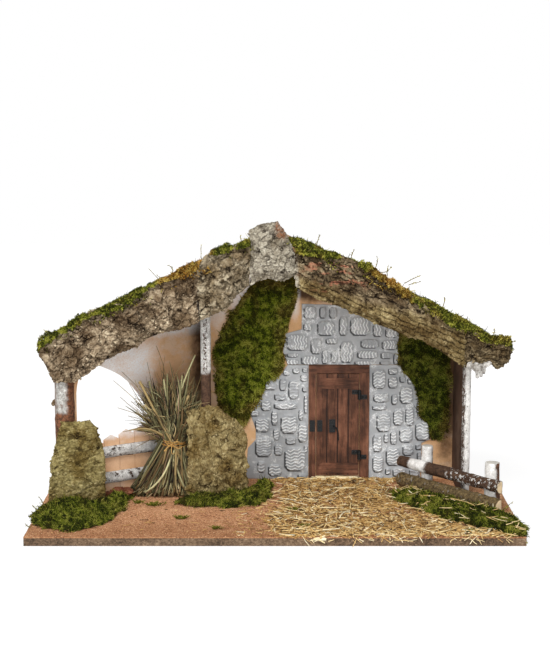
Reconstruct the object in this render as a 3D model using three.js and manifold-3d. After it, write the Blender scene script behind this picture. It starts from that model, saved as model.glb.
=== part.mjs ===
// A nativity stable: a board with sand, straw and moss on it, panel walls with an arched window
// and a stone-faced back, a two-board roof edged with cork bark, birch posts and fences, a tied
// sheaf, and a plank door that swings on two pintle hinges.
// Millimetres. X runs to the right, Y to the back and Z up. The origin is the middle of the
// board's underside.
import * as THREE from "three";
import { mergeVertices } from "three/addons/utils/BufferGeometryUtils.js";
import Module from "manifold-3d";

const wasm = await Module();
wasm.setup();

// Driving dimensions
const BOARD_WIDTH = 500;
const BOARD_DEPTH = 250;
const BOARD_THICKNESS = 8;
const SAND_THICKNESS = 1;
const PANEL = 3; // thickness of every wall and roof panel
const SEAT = 0.3; // gap left between two pieces that are glued on uneven faces
const GLUE = 0.1; // and between flat ones on the slanted wall
const GROUND = BOARD_THICKNESS + SAND_THICKNESS;

// Roof
const RIDGE_HEIGHT = 286; // top of the boards at the ridge, above the ground
const ROOF_PITCH = 26.5; // degrees
const ROOF_REACH = 242; // from the ridge to each eave, measured level
const ROOF_FRONT = 2;
const ROOF_OVERHANG = 4; // behind the back wall
const BATTEN_WIDTH = 16;
const BATTEN_HEIGHT = 8;

// Walls
const BACK_WALL_FRONT = 117;
const CORNER_X = -78; // where the slanted wall meets the back wall
const RIGHT_WALL_X = 202; // inner face
const RIGHT_WALL_FRONT = 26;
const PARTITION_X = -76; // left face
const PARTITION_FRONT = 32;
const SLANT = 35; // degrees between the slanted wall and the back wall
const SLANT_LENGTH = 168;
const WINDOW_SILL = 25;
const WINDOW_MARGIN = 3; // strip of the wall between the window and the left post

// Door
const FRAME_LEFT = 38.5;
const FRAME_HEIGHT = 132;
const FRAME_THICKNESS = 4;
const LEFT_JAMB = 7.5;
const RIGHT_JAMB = 10.5;
const HEAD = 9;
const DOORWAY_WIDTH = 50; // between the jambs
const DOOR_GAP = 0.8;
const DOOR_FLOOR_GAP = 5;
const LEAF_THICKNESS = 3;
const LEAF_RECESS = 0.4; // of the leaf's face behind the frame's
const STOP_LAP = 3; // of the wall behind the leaf's edges
const PLANKS = 4;
const GROOVE = 0.8;
const BATTEN_THICKNESS = 1.2;

// Hinges, latch and pull
const HINGE_HEIGHTS = { upper: 98.5, lower: 29 }; // seam between its halves, above the ground
const KNUCKLE_RADIUS = 2;
const PINTLE_RADIUS = 0.7;
const PINTLE_CLEARANCE = 0.3;
const STRAP_THICKNESS = 0.8;
const STRAP_HEIGHT = 5.2;
const STRAP_LENGTH = 8.5;
const LATCH_HEIGHT = 62.5; // of the latch's middle, above the ground
const PLATE_THICKNESS = 1.2;
const RIB_LIFT = 1;
const PULL_X = 65;

// Timber
const LEFT_POST_RADIUS = 11;
const STRIP_DEPTH = 6;
const MIDDLE_STRIP_WIDTH = 11;
const RIGHT_STRIP_WIDTH = 9;
const PICKETS = 6;
const PICKET_PITCH = 19;
const PICKET_WIDTH = 18.4;
const PICKET_HEIGHT = 80; // of the tallest picket, next to the inner corner
const PICKET_FALL = 3.2; // from each picket to the next
const PICKET_SHOULDER = 5;
const PICKET_START = 39; // along the slanted wall
const PICKET_RAIL_HEIGHTS = { upper: 49, lower: 20.5 };
const RAIL_RADIUS = 6.4;
const FENCE_START = new THREE.Vector2(142, 84);
const FENCE_ANGLE = 52; // degrees from the front of the board
const FENCE_RAIL_LENGTH = 155;
const FENCE_RAILS = {
  upper: { height: 29, radius: 6.6 },
  lower: { height: 8.5, radius: 7.6 },
};
const FENCE_POSTS = {
  rear: { along: 33, radius: 7.3, height: 51 },
  front: { along: 131, radius: 9, height: 50 },
};

// Facing, bark, moss and straw
const STONE_CARD = 1.2;
const STONE_RELIEF = 1.3;
const BARK_THICKNESS = 13;
const SLAB_THICKNESS = 9;
const ROOF_MOSS_THICKNESS = 8;
const CREST_DEPTH = 16; // of the moss that is heaped along the roof's front
const WALL_MOSS_THICKNESS = 8;
const STRAW_THICKNESS = 2.5;

// Sheaf
const SHEAF_Y = 43;
const SHEAF_FLATNESS = 0.42; // of its foot and head, depth to width
const SHEAF_FOOT = { x: -122, height: 0, radius: 34 };
const SHEAF_WAIST = { x: -110, height: 60, radius: 11 };
const SHEAF_HEAD = { x: -114, height: 138, radius: 32 };
const STEM_RINGS = [5, 11, 17, 23];
const STEM_RADIUS = 1.1;
const TIE_HEIGHT = 6;
const TIE_THICKNESS = 1.6;

// Worked out from these
const degrees = THREE.MathUtils.degToRad;
const lerp = THREE.MathUtils.lerp;
const ROOF_SLOPE = Math.tan(degrees(ROOF_PITCH));
const BACK_WALL_BACK = BACK_WALL_FRONT + PANEL;
const ROOF_BACK = BACK_WALL_BACK + ROOF_OVERHANG;
const RIDGE = GROUND + RIDGE_HEIGHT;
const PANEL_DROP = PANEL / Math.cos(degrees(ROOF_PITCH)); // a roof panel's thickness, measured upright
const RIGHT_WALL_OUTSIDE = RIGHT_WALL_X + PANEL;
const OPENING_LEFT = FRAME_LEFT + LEFT_JAMB;
const OPENING_RIGHT = OPENING_LEFT + DOORWAY_WIDTH;
const FRAME_RIGHT = OPENING_RIGHT + RIGHT_JAMB;
const FRAME_TOP = GROUND + FRAME_HEIGHT;
const OPENING_TOP = FRAME_TOP - HEAD;
const FRAME_FRONT = BACK_WALL_FRONT - FRAME_THICKNESS;
const LEAF = {
  left: OPENING_LEFT + DOOR_GAP,
  right: OPENING_RIGHT - DOOR_GAP,
  bottom: GROUND + DOOR_FLOOR_GAP,
  top: OPENING_TOP - DOOR_GAP,
  front: FRAME_FRONT + LEAF_RECESS,
};
const HINGE_X = OPENING_RIGHT - DOOR_GAP / 2;
const HINGE_Y = FRAME_FRONT - KNUCKLE_RADIUS - SEAT;
const BARK_BACK = ROOF_FRONT - SEAT;
const SLANT_DIRECTION = new THREE.Vector2(-Math.cos(degrees(SLANT)), -Math.sin(degrees(SLANT)));
const LEFT_POST = new THREE.Vector2(CORNER_X, BACK_WALL_FRONT).addScaledVector(
  SLANT_DIRECTION,
  SLANT_LENGTH + LEFT_POST_RADIUS + SEAT,
);

const FINISHES = {
  board: [0x5d4a3c, 0.9],
  sand: [0xb07a52, 1],
  panel: [0xb98a60, 0.9],
  darkPanel: [0x4a3a2e, 0.9],
  bark: [0x857864, 1],
  birch: [0xd8d6d0, 0.8],
  birchDark: [0x5a4c44, 0.9],
  stone: [0x8d9092, 0.6],
  door: [0x5e3a28, 0.7],
  iron: [0x23282a, 0.5],
  moss: [0x4c5a1c, 1],
  straw: [0xc9a365, 0.9],
  sheaf: [0x8c8456, 0.9],
};

const stable = new THREE.Group();
stable.name = "nativity_stable";

// A group with its own origin and turn, for pieces that belong together.
function assembly(name, x, y, z = 0, turn = 0) {
  const group = new THREE.Group();
  group.name = name;
  group.position.set(x, y, z);
  group.rotation.z = degrees(turn);
  stable.add(group);
  group.updateMatrixWorld(true);
  return group;
}

// A named mesh with a material of its own, drawn in the frame of the group that holds it.
function add(name, geometry, finish, parent = stable) {
  const [color, roughness] = FINISHES[finish];
  const material = new THREE.MeshStandardMaterial({ color, roughness, metalness: 0, name: finish });
  const mesh = new THREE.Mesh(geometry, material);
  mesh.name = name;
  parent.add(mesh);
  return mesh;
}

// Solids

// A closed geometry as a solid that can be cut and joined.
function solid(geometry) {
  const bare = geometry.index ? geometry.toNonIndexed() : geometry.clone();
  bare.deleteAttribute("normal");
  bare.deleteAttribute("uv");
  const merged = mergeVertices(bare, 1e-4);
  return new wasm.Manifold(
    new wasm.Mesh({
      numProp: 3,
      vertProperties: merged.attributes.position.array,
      triVerts: new Uint32Array(merged.index.array),
    }),
  );
}

function geometryOf(made) {
  const { vertProperties, triVerts } = made.getMesh();
  const geometry = new THREE.BufferGeometry();
  geometry.setAttribute("position", new THREE.BufferAttribute(vertProperties, 3));
  geometry.setIndex(new THREE.BufferAttribute(triVerts, 1));
  const flat = geometry.toNonIndexed();
  flat.computeVertexNormals();
  return flat;
}

function box(x0, x1, y0, y1, z0, z1) {
  return new THREE.BoxGeometry(x1 - x0, y1 - y0, z1 - z0).translate(
    (x0 + x1) / 2,
    (y0 + y1) / 2,
    (z0 + z1) / 2,
  );
}

const join = (...geometries) =>
  geometryOf(geometries.map(solid).reduce((whole, next) => whole.add(next)));

const cut = (geometry, ...tools) =>
  geometryOf(tools.map(solid).reduce((whole, next) => whole.subtract(next), solid(geometry)));

const shapeOf = (points) => new THREE.Shape(points.map(([x, y]) => new THREE.Vector2(x, y)));

// An outline with its sides moved outwards.
function grown(outline, by) {
  const corners = outline.map(([x, y]) => new THREE.Vector2(x, y));
  const side = THREE.ShapeUtils.isClockWise(corners) ? -1 : 1;
  return corners.map((corner, k) => {
    const before = corners.at(k - 1);
    const after = corners[(k + 1) % corners.length];
    const normal = (from, to) => new THREE.Vector2(to.y - from.y, from.x - to.x).normalize();
    const first = normal(before, corner);
    const second = normal(corner, after);
    const shift = first.clone().add(second).multiplyScalar((side * by) / (1 + first.dot(second)));
    return [corner.x + shift.x, corner.y + shift.y];
  });
}

// An upright plate: an outline in X and Z, from y0 to y1.
function plate(shape, y0, y1) {
  return new THREE.ExtrudeGeometry(shape, { depth: y1 - y0, bevelEnabled: false, curveSegments: 8 })
    .rotateX(Math.PI / 2)
    .translate(0, y1, 0);
}

// An upright cylinder from z0 to z1.
function rod(x, y, z0, z1, radius, sides = 16) {
  return new THREE.CylinderGeometry(radius, radius, z1 - z0, sides)
    .rotateX(Math.PI / 2)
    .translate(x, y, (z0 + z1) / 2);
}

// A closed body through rings of points. Each ring runs counter-clockwise about the direction in
// which the rings follow one another.
function loft(rings) {
  const count = rings[0].length;
  const faces = [];
  for (let i = 0; i + 1 < rings.length; i++)
    for (let k = 0; k < count; k++) {
      const a = i * count + k;
      const b = i * count + ((k + 1) % count);
      faces.push(a, b, b + count, a, b + count, a + count);
    }
  const last = (rings.length - 1) * count;
  for (let k = 1; k + 1 < count; k++) {
    faces.push(0, k + 1, k);
    faces.push(last, last + k, last + k + 1);
  }
  return new THREE.BufferGeometry().setFromPoints(rings.flat()).setIndex(faces).toNonIndexed();
}

// A smooth uneven value from -1 to 1, which depends only on the place and the seed.
function uneven(a, b, seed) {
  const slow = Math.sin(a * 1.3 + seed) * Math.cos(b * 1.7 - seed);
  const quick = Math.sin(a * 3.1 + b * 2.3 + seed * 1.9);
  return (slow * 2 + quick) / 3;
}

// The second number of a list of [key, value] pairs at a key between them.
function along(points, key) {
  const next = points.findIndex(([k]) => k >= key);
  if (next <= 0) return next ? points.at(-1)[1] : points[0][1];
  const [[k0, v0], [k1, v1]] = [points[next - 1], points[next]];
  return lerp(v0, v1, (key - k0) / (k1 - k0));
}

// A flat-backed lumpy body such as a mat of moss or a slab of bark. It lies between two edges,
// given as [place along the mat, place across it], and place(across, along, height) puts a point
// of it in space. Going across and then along turns counter-clockwise seen from its lumpy side.
function mat({ edges, columns, rows, thickness, rim = 0.3, lumps = 0.15, grain = 9, seed, place }) {
  const [first, second] = edges;
  const start = first[0][0];
  const end = first.at(-1)[0];
  const swell = (k) => 1 - (2 * k - 1) ** 4;
  const point = (i, j, lifted) => {
    const t = lerp(start, end, j / rows);
    const s = lerp(along(first, t), along(second, t), i / columns);
    const fullness = swell(i / columns) * swell(j / rows);
    const height = thickness * (rim + fullness * (1 - rim + lumps * uneven(s / grain, t / grain, seed)));
    return place(s, t, lifted ? height : 0);
  };
  const points = [];
  for (const lifted of [true, false])
    for (let i = 0; i <= columns; i++)
      for (let j = 0; j <= rows; j++) points.push(point(i, j, lifted));
  const at = (i, j, lifted) => ((lifted ? 0 : columns + 1) + i) * (rows + 1) + j;
  const faces = [];
  const quad = (a, b, c, d) => faces.push(a, b, c, a, c, d);
  for (let i = 0; i < columns; i++)
    for (let j = 0; j < rows; j++) {
      quad(at(i, j, true), at(i + 1, j, true), at(i + 1, j + 1, true), at(i, j + 1, true));
      quad(at(i, j, false), at(i, j + 1, false), at(i + 1, j + 1, false), at(i + 1, j, false));
    }
  const rimQuad = (i, j, k, l) => quad(at(i, j, false), at(k, l, false), at(k, l, true), at(i, j, true));
  for (let i = 0; i < columns; i++) {
    rimQuad(i, 0, i + 1, 0);
    rimQuad(i + 1, rows, i, rows);
  }
  for (let j = 0; j < rows; j++) {
    rimQuad(0, j + 1, 0, j);
    rimQuad(columns, j, columns, j + 1);
  }
  const body = new THREE.BufferGeometry().setFromPoints(points).setIndex(faces).toNonIndexed();
  return geometryOf(solid(body).simplify(0.01));
}

// A branch standing on the plane z = 0.
function branch(length, radius, seed, taper = 0, sides = 12, rings = 6) {
  const ring = (z) =>
    Array.from({ length: sides }, (_, k) => {
      const angle = (2 * Math.PI * k) / sides;
      const swell = 1 + 0.05 * uneven(2 * Math.cos(angle), z / 9 + 2 * Math.sin(angle), seed);
      const r = radius * swell * (1 - (taper * z) / length);
      return new THREE.Vector3(r * Math.cos(angle), r * Math.sin(angle), z);
    });
  return loft(Array.from({ length: rings + 1 }, (_, i) => ring((length * i) / rings)));
}

// A split branch standing on the plane z = 0, its flat side on the plane y = 0 and its bark
// towards -Y.
function halfBranch(length, width, depth, seed, rings = 8, sides = 8) {
  const edge = depth * 0.15;
  const ring = (z) => {
    const profile = Array.from({ length: sides + 1 }, (_, k) => {
      const angle = Math.PI * (k / sides - 0.5) * 0.9;
      const x = (width / 2) * (Math.sin(angle) / Math.sin(Math.PI * 0.45));
      const swell = 1 - 0.07 + 0.07 * uneven(x / 3, z / 9, seed);
      return new THREE.Vector3(x, -edge - (depth - edge) * Math.cos(angle) * swell, z);
    });
    return [
      new THREE.Vector3(-width / 2, 0, z),
      ...profile,
      new THREE.Vector3(width / 2, 0, z),
    ];
  };
  return loft(Array.from({ length: rings + 1 }, (_, i) => ring((length * i) / rings)));
}

// Everything under the roof panels, which walls and posts are cut to.
const underside = RIDGE - PANEL_DROP - SEAT;
const underRoof = solid(
  plate(
    shapeOf([
      [-BOARD_WIDTH, 0],
      [BOARD_WIDTH, 0],
      [BOARD_WIDTH, underside - BOARD_WIDTH * ROOF_SLOPE],
      [0, underside],
      [-BOARD_WIDTH, underside - BOARD_WIDTH * ROOF_SLOPE],
    ]),
    -BOARD_DEPTH,
    BOARD_DEPTH,
  ),
);

// A piece drawn in its group's frame, cut off under the roof.
function fitUnderRoof(geometry, parent = stable) {
  const placed = geometry.clone().applyMatrix4(parent.matrixWorld);
  const fitted = geometryOf(solid(placed).intersect(underRoof));
  return fitted.applyMatrix4(parent.matrixWorld.clone().invert());
}

// The board and the sand glued on it

add(
  "base_board",
  box(-BOARD_WIDTH / 2, BOARD_WIDTH / 2, -BOARD_DEPTH / 2, BOARD_DEPTH / 2, 0, BOARD_THICKNESS),
  "board",
);
add(
  "sand_layer",
  box(-BOARD_WIDTH / 2, BOARD_WIDTH / 2, -BOARD_DEPTH / 2, BOARD_DEPTH / 2, BOARD_THICKNESS, GROUND),
  "sand",
);

// Walls

const doorwayCut = box(
  LEAF.left + STOP_LAP,
  LEAF.right - STOP_LAP,
  BACK_WALL_FRONT - PANEL,
  BACK_WALL_BACK + PANEL,
  LEAF.bottom + STOP_LAP,
  LEAF.top - STOP_LAP,
);
add(
  "back_wall",
  fitUnderRoof(
    cut(
      box(CORNER_X, RIGHT_WALL_OUTSIDE, BACK_WALL_FRONT, BACK_WALL_BACK, GROUND, RIDGE),
      doorwayCut,
    ),
  ),
  "panel",
);
add(
  "right_wall",
  fitUnderRoof(
    box(RIGHT_WALL_X, RIGHT_WALL_OUTSIDE, RIGHT_WALL_FRONT, BACK_WALL_FRONT, GROUND, RIDGE),
  ),
  "darkPanel",
);
add(
  "partition_wall",
  fitUnderRoof(
    box(PARTITION_X, PARTITION_X + PANEL, PARTITION_FRONT, BACK_WALL_FRONT, GROUND, RIDGE),
  ),
  "panel",
);

// The slanted wall and its fence: X runs along the wall from its inner corner, Y into the bay.
const slantedSide = assembly("slanted_side", CORNER_X, BACK_WALL_FRONT, 0, 180 + SLANT);

// The window is a free curve on its right side and nearly square on its left.
function windowShape() {
  const sill = GROUND + WINDOW_SILL;
  const shape = new THREE.Shape();
  shape.moveTo(57, sill);
  shape.splineThru(
    [
      [61, 62],
      [73, 85],
      [90, 111],
      [109, 130.5],
      [137, 145],
    ].map(([u, z]) => new THREE.Vector2(u, GROUND + z)),
  );
  shape.quadraticCurveTo(162, GROUND + 152, SLANT_LENGTH - WINDOW_MARGIN, GROUND + 118);
  shape.lineTo(SLANT_LENGTH - WINDOW_MARGIN, sill);
  return shape;
}

add(
  "slanted_wall",
  fitUnderRoof(
    cut(
      box(SEAT, SLANT_LENGTH, -PANEL, 0, GROUND, RIDGE),
      plate(windowShape(), -2 * PANEL, PANEL),
    ),
    slantedSide,
  ),
  "panel",
  slantedSide,
);

// Roof

function roofProfile(side, inner, reach, lift, thickness) {
  const height = (x) => RIDGE + lift - x * ROOF_SLOPE;
  const outline = [
    [inner, height(inner)],
    [reach, height(reach)],
    [reach, height(reach) - thickness],
    [inner, height(inner) - thickness],
  ];
  return shapeOf(outline.map(([x, z]) => [side * x, z]));
}

for (const [name, side] of [
  ["roof_board_left", -1],
  ["roof_board_right", 1],
])
  add(
    name,
    plate(roofProfile(side, SEAT / 2, ROOF_REACH, 0, PANEL_DROP), ROOF_FRONT, ROOF_BACK),
    "panel",
  );

add(
  "ridge_batten",
  fitUnderRoof(
    box(
      -BATTEN_WIDTH / 2,
      BATTEN_WIDTH / 2,
      ROOF_FRONT,
      BACK_WALL_FRONT,
      underside - BATTEN_HEIGHT - (BATTEN_WIDTH / 2) * ROOF_SLOPE,
      RIDGE,
    ),
  ),
  "panel",
);

// Posts

add(
  "left_post",
  fitUnderRoof(
    branch(RIDGE, LEFT_POST_RADIUS / 1.05, 3, 0, 14, 20).translate(LEFT_POST.x, LEFT_POST.y, GROUND),
  ),
  "birch",
);

for (const [name, x, front, width, seed] of [
  ["middle_post", PARTITION_X + PANEL / 2, PARTITION_FRONT, MIDDLE_STRIP_WIDTH, 5],
  ["right_post", RIGHT_WALL_OUTSIDE + 1, RIGHT_WALL_FRONT, RIGHT_STRIP_WIDTH, 8],
])
  add(
    name,
    fitUnderRoof(halfBranch(RIDGE, width, STRIP_DEPTH, seed, 20).translate(x, front, GROUND)),
    "birch",
  );

// Stone facing: three embossed cards round the door frame

const stoneLeftEdge = [
  [GROUND, -34],
  [GROUND + 36, -31],
  [GROUND + 46, -22],
  [GROUND + 58, -22],
  [GROUND + 75, -28],
  [GROUND + 92, -17],
  [GROUND + 114, -12.5],
  [GROUND + 120, 6],
  [FRAME_TOP, 14],
];
const stoneRightEdge = [
  [GROUND, 166],
  [GROUND + 42, 167],
  [GROUND + 46, 177],
  [GROUND + 67, 174],
  [GROUND + 73, 163],
  [GROUND + 95, 163],
  [GROUND + 110, 158],
  [GROUND + 120, 149],
  [FRAME_TOP, 141],
];
const upperCardOutline = [
  [14, FRAME_TOP + SEAT],
  [140, FRAME_TOP + SEAT],
  [140, GROUND + 198],
  [30, GROUND + 202],
  [30, GROUND + 173],
  [12, GROUND + 168],
  [9, GROUND + 147],
];
const upright = ([z, x]) => [x, z];
const leftCardOutline = [
  ...stoneLeftEdge.map(upright).reverse(),
  [FRAME_LEFT - SEAT, GROUND],
  [FRAME_LEFT - SEAT, FRAME_TOP],
];
const rightCardOutline = [
  ...stoneRightEdge.map(upright),
  [FRAME_RIGHT + SEAT, FRAME_TOP],
  [FRAME_RIGHT + SEAT, GROUND],
];

// One raised stone: an eight-cornered pad with sloping sides.
function stone(x, z, width, height) {
  const corner = (k, grow, y) => {
    const angle = degrees(22.5 + 45 * k);
    const reach = (v) => Math.sign(v) * Math.abs(v) ** 0.55;
    return new THREE.Vector3(
      x + (width / 2) * grow * reach(Math.cos(angle)),
      y,
      z + (height / 2) * grow * reach(Math.sin(angle)),
    );
  };
  const ring = (grow, y) => Array.from({ length: 8 }, (_, k) => corner(k, grow, y));
  const face = BACK_WALL_FRONT - STONE_CARD;
  return loft([ring(1, face + STONE_CARD / 2), ring(1, face - 0.2), ring(0.86, face - STONE_RELIEF)]);
}

// The stones on each card, as left and right edge and lower and upper edge above the ground.
const STONES = {
  left: [
    [-20, -11, 7, 21], [-8, 8, 3, 17], [10, 36, 8, 38], [-23, -3, 25, 49], [-1, 9, 27, 41],
    [-2, 5, 45, 59], [6, 26, 52, 76], [-4, 3, 62, 80], [-23, -6, 54, 71], [-28, -18, 73, 80],
    [-16, -4, 79, 92], [-2, 26, 81, 89], [-1, 12, 91, 100], [15, 27, 92, 115], [5, 13, 102, 117],
    [-12, 3, 103, 115], [20, 28, 122, 129], [31, 37, 124, 129], [29, 37, 113, 122], [31, 37, 101, 107],
    [33, 37, 75, 98], [27, 32, 68, 81], [26, 37, 42, 66], [12, 24, 40, 49], [33, 37, 31, 39],
    [9, 17, 120, 127], [26, 36, 1, 6],
  ],
  right: [
    [110, 126, 104, 128], [128, 139, 121, 129], [128, 139, 105, 119], [141, 148, 112, 120],
    [150, 156, 110, 118], [141, 157, 87, 108], [132, 139, 86, 99], [111, 130, 89, 100], [110, 127, 80, 86],
    [115, 132, 54, 78], [134, 146, 62, 81], [148, 158, 61, 85], [161, 168, 74, 92], [159, 176, 44, 68],
    [141, 157, 42, 60], [131, 139, 40, 56], [111, 122, 31, 53], [124, 129, 42, 53], [126, 143, 15, 37],
    [145, 158, 27, 40], [160, 168, 34, 41], [162, 168, 22, 32], [111, 124, 7, 29], [126, 132, 5, 13],
    [134, 150, 2, 13], [153, 165, 3, 12],
  ],
  top: [
    [12, 38, 148, 168], [32, 47, 184, 200], [32, 42, 171, 180], [47, 68, 165, 183], [40, 53, 144, 163],
    [57, 71, 156, 163], [72, 82, 165, 188], [84, 108, 165, 188], [50, 58, 185, 199], [61, 70, 185, 198],
    [96, 118, 151, 162], [120, 139, 149, 161], [73, 89, 134, 160], [63, 71, 134, 149], [53, 60, 133, 150],
    [92, 117, 139, 149], [119, 133, 139, 147], [134, 139, 132, 146], [118, 131, 132, 137],
    [89, 114, 132, 137],
    [29, 50, 132, 143], [12, 27, 132, 139], [13, 27, 141, 146], [110, 122, 164, 180], [124, 139, 163, 175],
  ],
};

function stoneCard(outline, stones) {
  const shape = shapeOf(outline);
  const face = BACK_WALL_FRONT - STONE_CARD;
  const card = solid(plate(shape, face, BACK_WALL_FRONT));
  const raised = stones.map(([left, right, low, high]) =>
    solid(stone((left + right) / 2, GROUND + (low + high) / 2, right - left, high - low)),
  );
  const clip = solid(plate(shape, face - 2 * STONE_RELIEF, BACK_WALL_FRONT));
  return geometryOf(wasm.Manifold.union([card, ...raised]).intersect(clip));
}

add("stone_card_left", stoneCard(leftCardOutline, STONES.left), "stone");
add("stone_card_right", stoneCard(rightCardOutline, STONES.right), "stone");
add("stone_card_top", stoneCard(upperCardOutline, STONES.top), "stone");

// Door frame

// The door's own group has its origin on the hinges' axis and turns about Z.
const door = assembly("door", HINGE_X, HINGE_Y);

add(
  "door_jamb_left",
  box(FRAME_LEFT, OPENING_LEFT, FRAME_FRONT, BACK_WALL_FRONT, GROUND, OPENING_TOP),
  "door",
);
add(
  "door_jamb_right",
  box(OPENING_RIGHT, FRAME_RIGHT, FRAME_FRONT, BACK_WALL_FRONT, GROUND, OPENING_TOP),
  "door",
);
add(
  "door_head",
  box(FRAME_LEFT, FRAME_RIGHT, FRAME_FRONT, BACK_WALL_FRONT, OPENING_TOP, FRAME_TOP),
  "door",
);

// Door leaf

// A piece of the door, drawn in the stable's frame with the door closed.
const addToDoor = (name, geometry, finish) => door.attach(add(name, geometry, finish));

const plankWidth = (LEAF.right - LEAF.left) / PLANKS;
const grooves = Array.from({ length: PLANKS - 1 }, (_, k) => {
  const x = LEAF.left + plankWidth * (k + 1);
  return box(x - GROOVE / 2, x + GROOVE / 2, 0, LEAF.front + GROOVE, 0, RIDGE);
});
addToDoor(
  "door_leaf",
  cut(
    box(LEAF.left, LEAF.right, LEAF.front, LEAF.front + LEAF_THICKNESS, LEAF.bottom, LEAF.top),
    ...grooves,
  ),
  "door",
);

// A batten with its upper left corner rounded.
function batten(bottom, height) {
  const left = LEAF.left + 2.7;
  const right = LEAF.right - 1;
  const round = height * 0.45;
  const shape = new THREE.Shape();
  shape.moveTo(left, bottom);
  shape.lineTo(right, bottom);
  shape.lineTo(right, bottom + height);
  shape.lineTo(left + round, bottom + height);
  shape.absarc(left + round, bottom + height - round, round, Math.PI / 2, Math.PI, false);
  return plate(shape, LEAF.front - BATTEN_THICKNESS, LEAF.front);
}

addToDoor("door_batten_top", batten(GROUND + 105.5, 12), "door");
addToDoor("door_batten_bottom", batten(GROUND + 7.5, 12), "door");

// Hinges: a hook with an upright pin on the jamb, and over the pin the eye of a strap on the leaf

const PINTLE_BORE = PINTLE_RADIUS + PINTLE_CLEARANCE;

function strap(seam) {
  const bottom = seam + SEAT;
  const top = bottom + STRAP_HEIGHT;
  const arm = box(HINGE_X - STRAP_LENGTH, HINGE_X, LEAF.front - STRAP_THICKNESS, LEAF.front, bottom, top);
  const web = box(HINGE_X - KNUCKLE_RADIUS, HINGE_X, HINGE_Y, LEAF.front, bottom, top);
  const eye = rod(HINGE_X, HINGE_Y, bottom, top, KNUCKLE_RADIUS);
  const besideLeaf = box(
    LEAF.right,
    HINGE_X + KNUCKLE_RADIUS,
    FRAME_FRONT - SEAT,
    LEAF.front + 1,
    bottom - 1,
    top + 1,
  );
  const bore = rod(HINGE_X, HINGE_Y, bottom - 1, top + 1, PINTLE_BORE, 12);
  return cut(join(arm, web, eye), besideLeaf, bore);
}

function hook(seam) {
  const bottom = seam - STRAP_HEIGHT;
  const arm = box(HINGE_X, HINGE_X + STRAP_LENGTH, FRAME_FRONT - STRAP_THICKNESS, FRAME_FRONT, bottom, seam);
  const web = box(HINGE_X, HINGE_X + KNUCKLE_RADIUS, HINGE_Y, FRAME_FRONT - SEAT, bottom, seam);
  const boss = rod(HINGE_X, HINGE_Y, bottom, seam, KNUCKLE_RADIUS);
  const pin = rod(HINGE_X, HINGE_Y, bottom + 1, seam + STRAP_HEIGHT + 2 * SEAT, PINTLE_RADIUS, 12);
  const besideJamb = box(HINGE_X - 1, OPENING_RIGHT, FRAME_FRONT - SEAT, FRAME_FRONT, bottom, seam);
  return cut(join(arm, web, boss, pin), besideJamb);
}

for (const [place, height] of Object.entries(HINGE_HEIGHTS)) {
  addToDoor(`hinge_strap_${place}`, strap(GROUND + height), "iron");
  add(`hinge_hook_${place}`, hook(GROUND + height), "iron");
}

// Latch, keeper and pull, cast as plates with a raised rib and bolt heads

function ironPlate(x, z, width, height, face) {
  const front = face - PLATE_THICKNESS;
  const half = width / 2;
  const body = box(x - half, x + half, front, face, z - height / 2, z + height / 2);
  const rib = box(x - half, x + half, front - RIB_LIFT, front + 0.5, z - height / 8, z + height / 8);
  const head = (lift) =>
    new THREE.CylinderGeometry(width / 5, width / 6, 1, 10).translate(x, front, z + lift);
  return join(body, rib, head(height * 0.33), head(-height * 0.33));
}

const latchZ = GROUND + LATCH_HEIGHT;
const keeperX = OPENING_LEFT - LEFT_JAMB / 2;
add("latch_keeper", ironPlate(keeperX, latchZ, 6, 13, FRAME_FRONT), "iron");
addToDoor("latch_plate", ironPlate(LEAF.left + 4, latchZ, 6, 13, LEAF.front), "iron");
addToDoor("pull_plate", ironPlate(PULL_X, latchZ, 7, 15, LEAF.front), "iron");

// The pull: a bar that leaves the plate's rib, bows out to the right and hangs down.
function pull() {
  const rib = LEAF.front - PLATE_THICKNESS - RIB_LIFT;
  const path = new THREE.CatmullRomCurve3([
    new THREE.Vector3(PULL_X + 1.5, rib - SEAT, latchZ),
    new THREE.Vector3(PULL_X + 1.8, rib - SEAT - 1.2, latchZ),
    new THREE.Vector3(PULL_X + 5.2, rib - SEAT - 1.5, latchZ - 3),
    new THREE.Vector3(PULL_X + 6.9, rib - SEAT - 1, latchZ - 16),
  ]);
  const section = new THREE.Shape().absarc(0, 0, 0.9, 0, 2 * Math.PI, false);
  return new THREE.ExtrudeGeometry(section, { steps: 12, extrudePath: path, curveSegments: 4 });
}

addToDoor("door_pull", pull(), "iron");

// Picket fence under the window, and its two split birch rails

function picket(k) {
  const left = PICKET_START + PICKET_PITCH * k;
  const right = left + PICKET_WIDTH;
  const top = GROUND + PICKET_HEIGHT - PICKET_FALL * k + 0.6 * Math.sin(2.2 * k + 1);
  const shape = shapeOf([
    [left, GROUND],
    [right, GROUND],
    [right, top - PICKET_SHOULDER],
    [(left + right) / 2, top],
    [left, top - PICKET_SHOULDER],
  ]);
  return plate(shape, GLUE, GLUE + PANEL);
}

for (let k = 0; k < PICKETS; k++) add(`picket_${k + 1}`, picket(k), "panel", slantedSide);

const picketRailLength = PICKET_PITCH * PICKETS + 2;
for (const [place, height] of Object.entries(PICKET_RAIL_HEIGHTS))
  add(
    `picket_rail_${place}`,
    halfBranch(picketRailLength, 2 * RAIL_RADIUS, RAIL_RADIUS, height)
      .rotateY(-Math.PI / 2)
      .rotateX(Math.PI)
      .translate(PICKET_START - 1 + picketRailLength, PANEL + 2 * GLUE, GROUND + height),
    "birch",
    slantedSide,
  );

// Log fence at the right

// X runs along the fence towards the front corner and Y behind it.
const fence = assembly("fence", FENCE_START.x, FENCE_START.y, GROUND, -FENCE_ANGLE);

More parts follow.
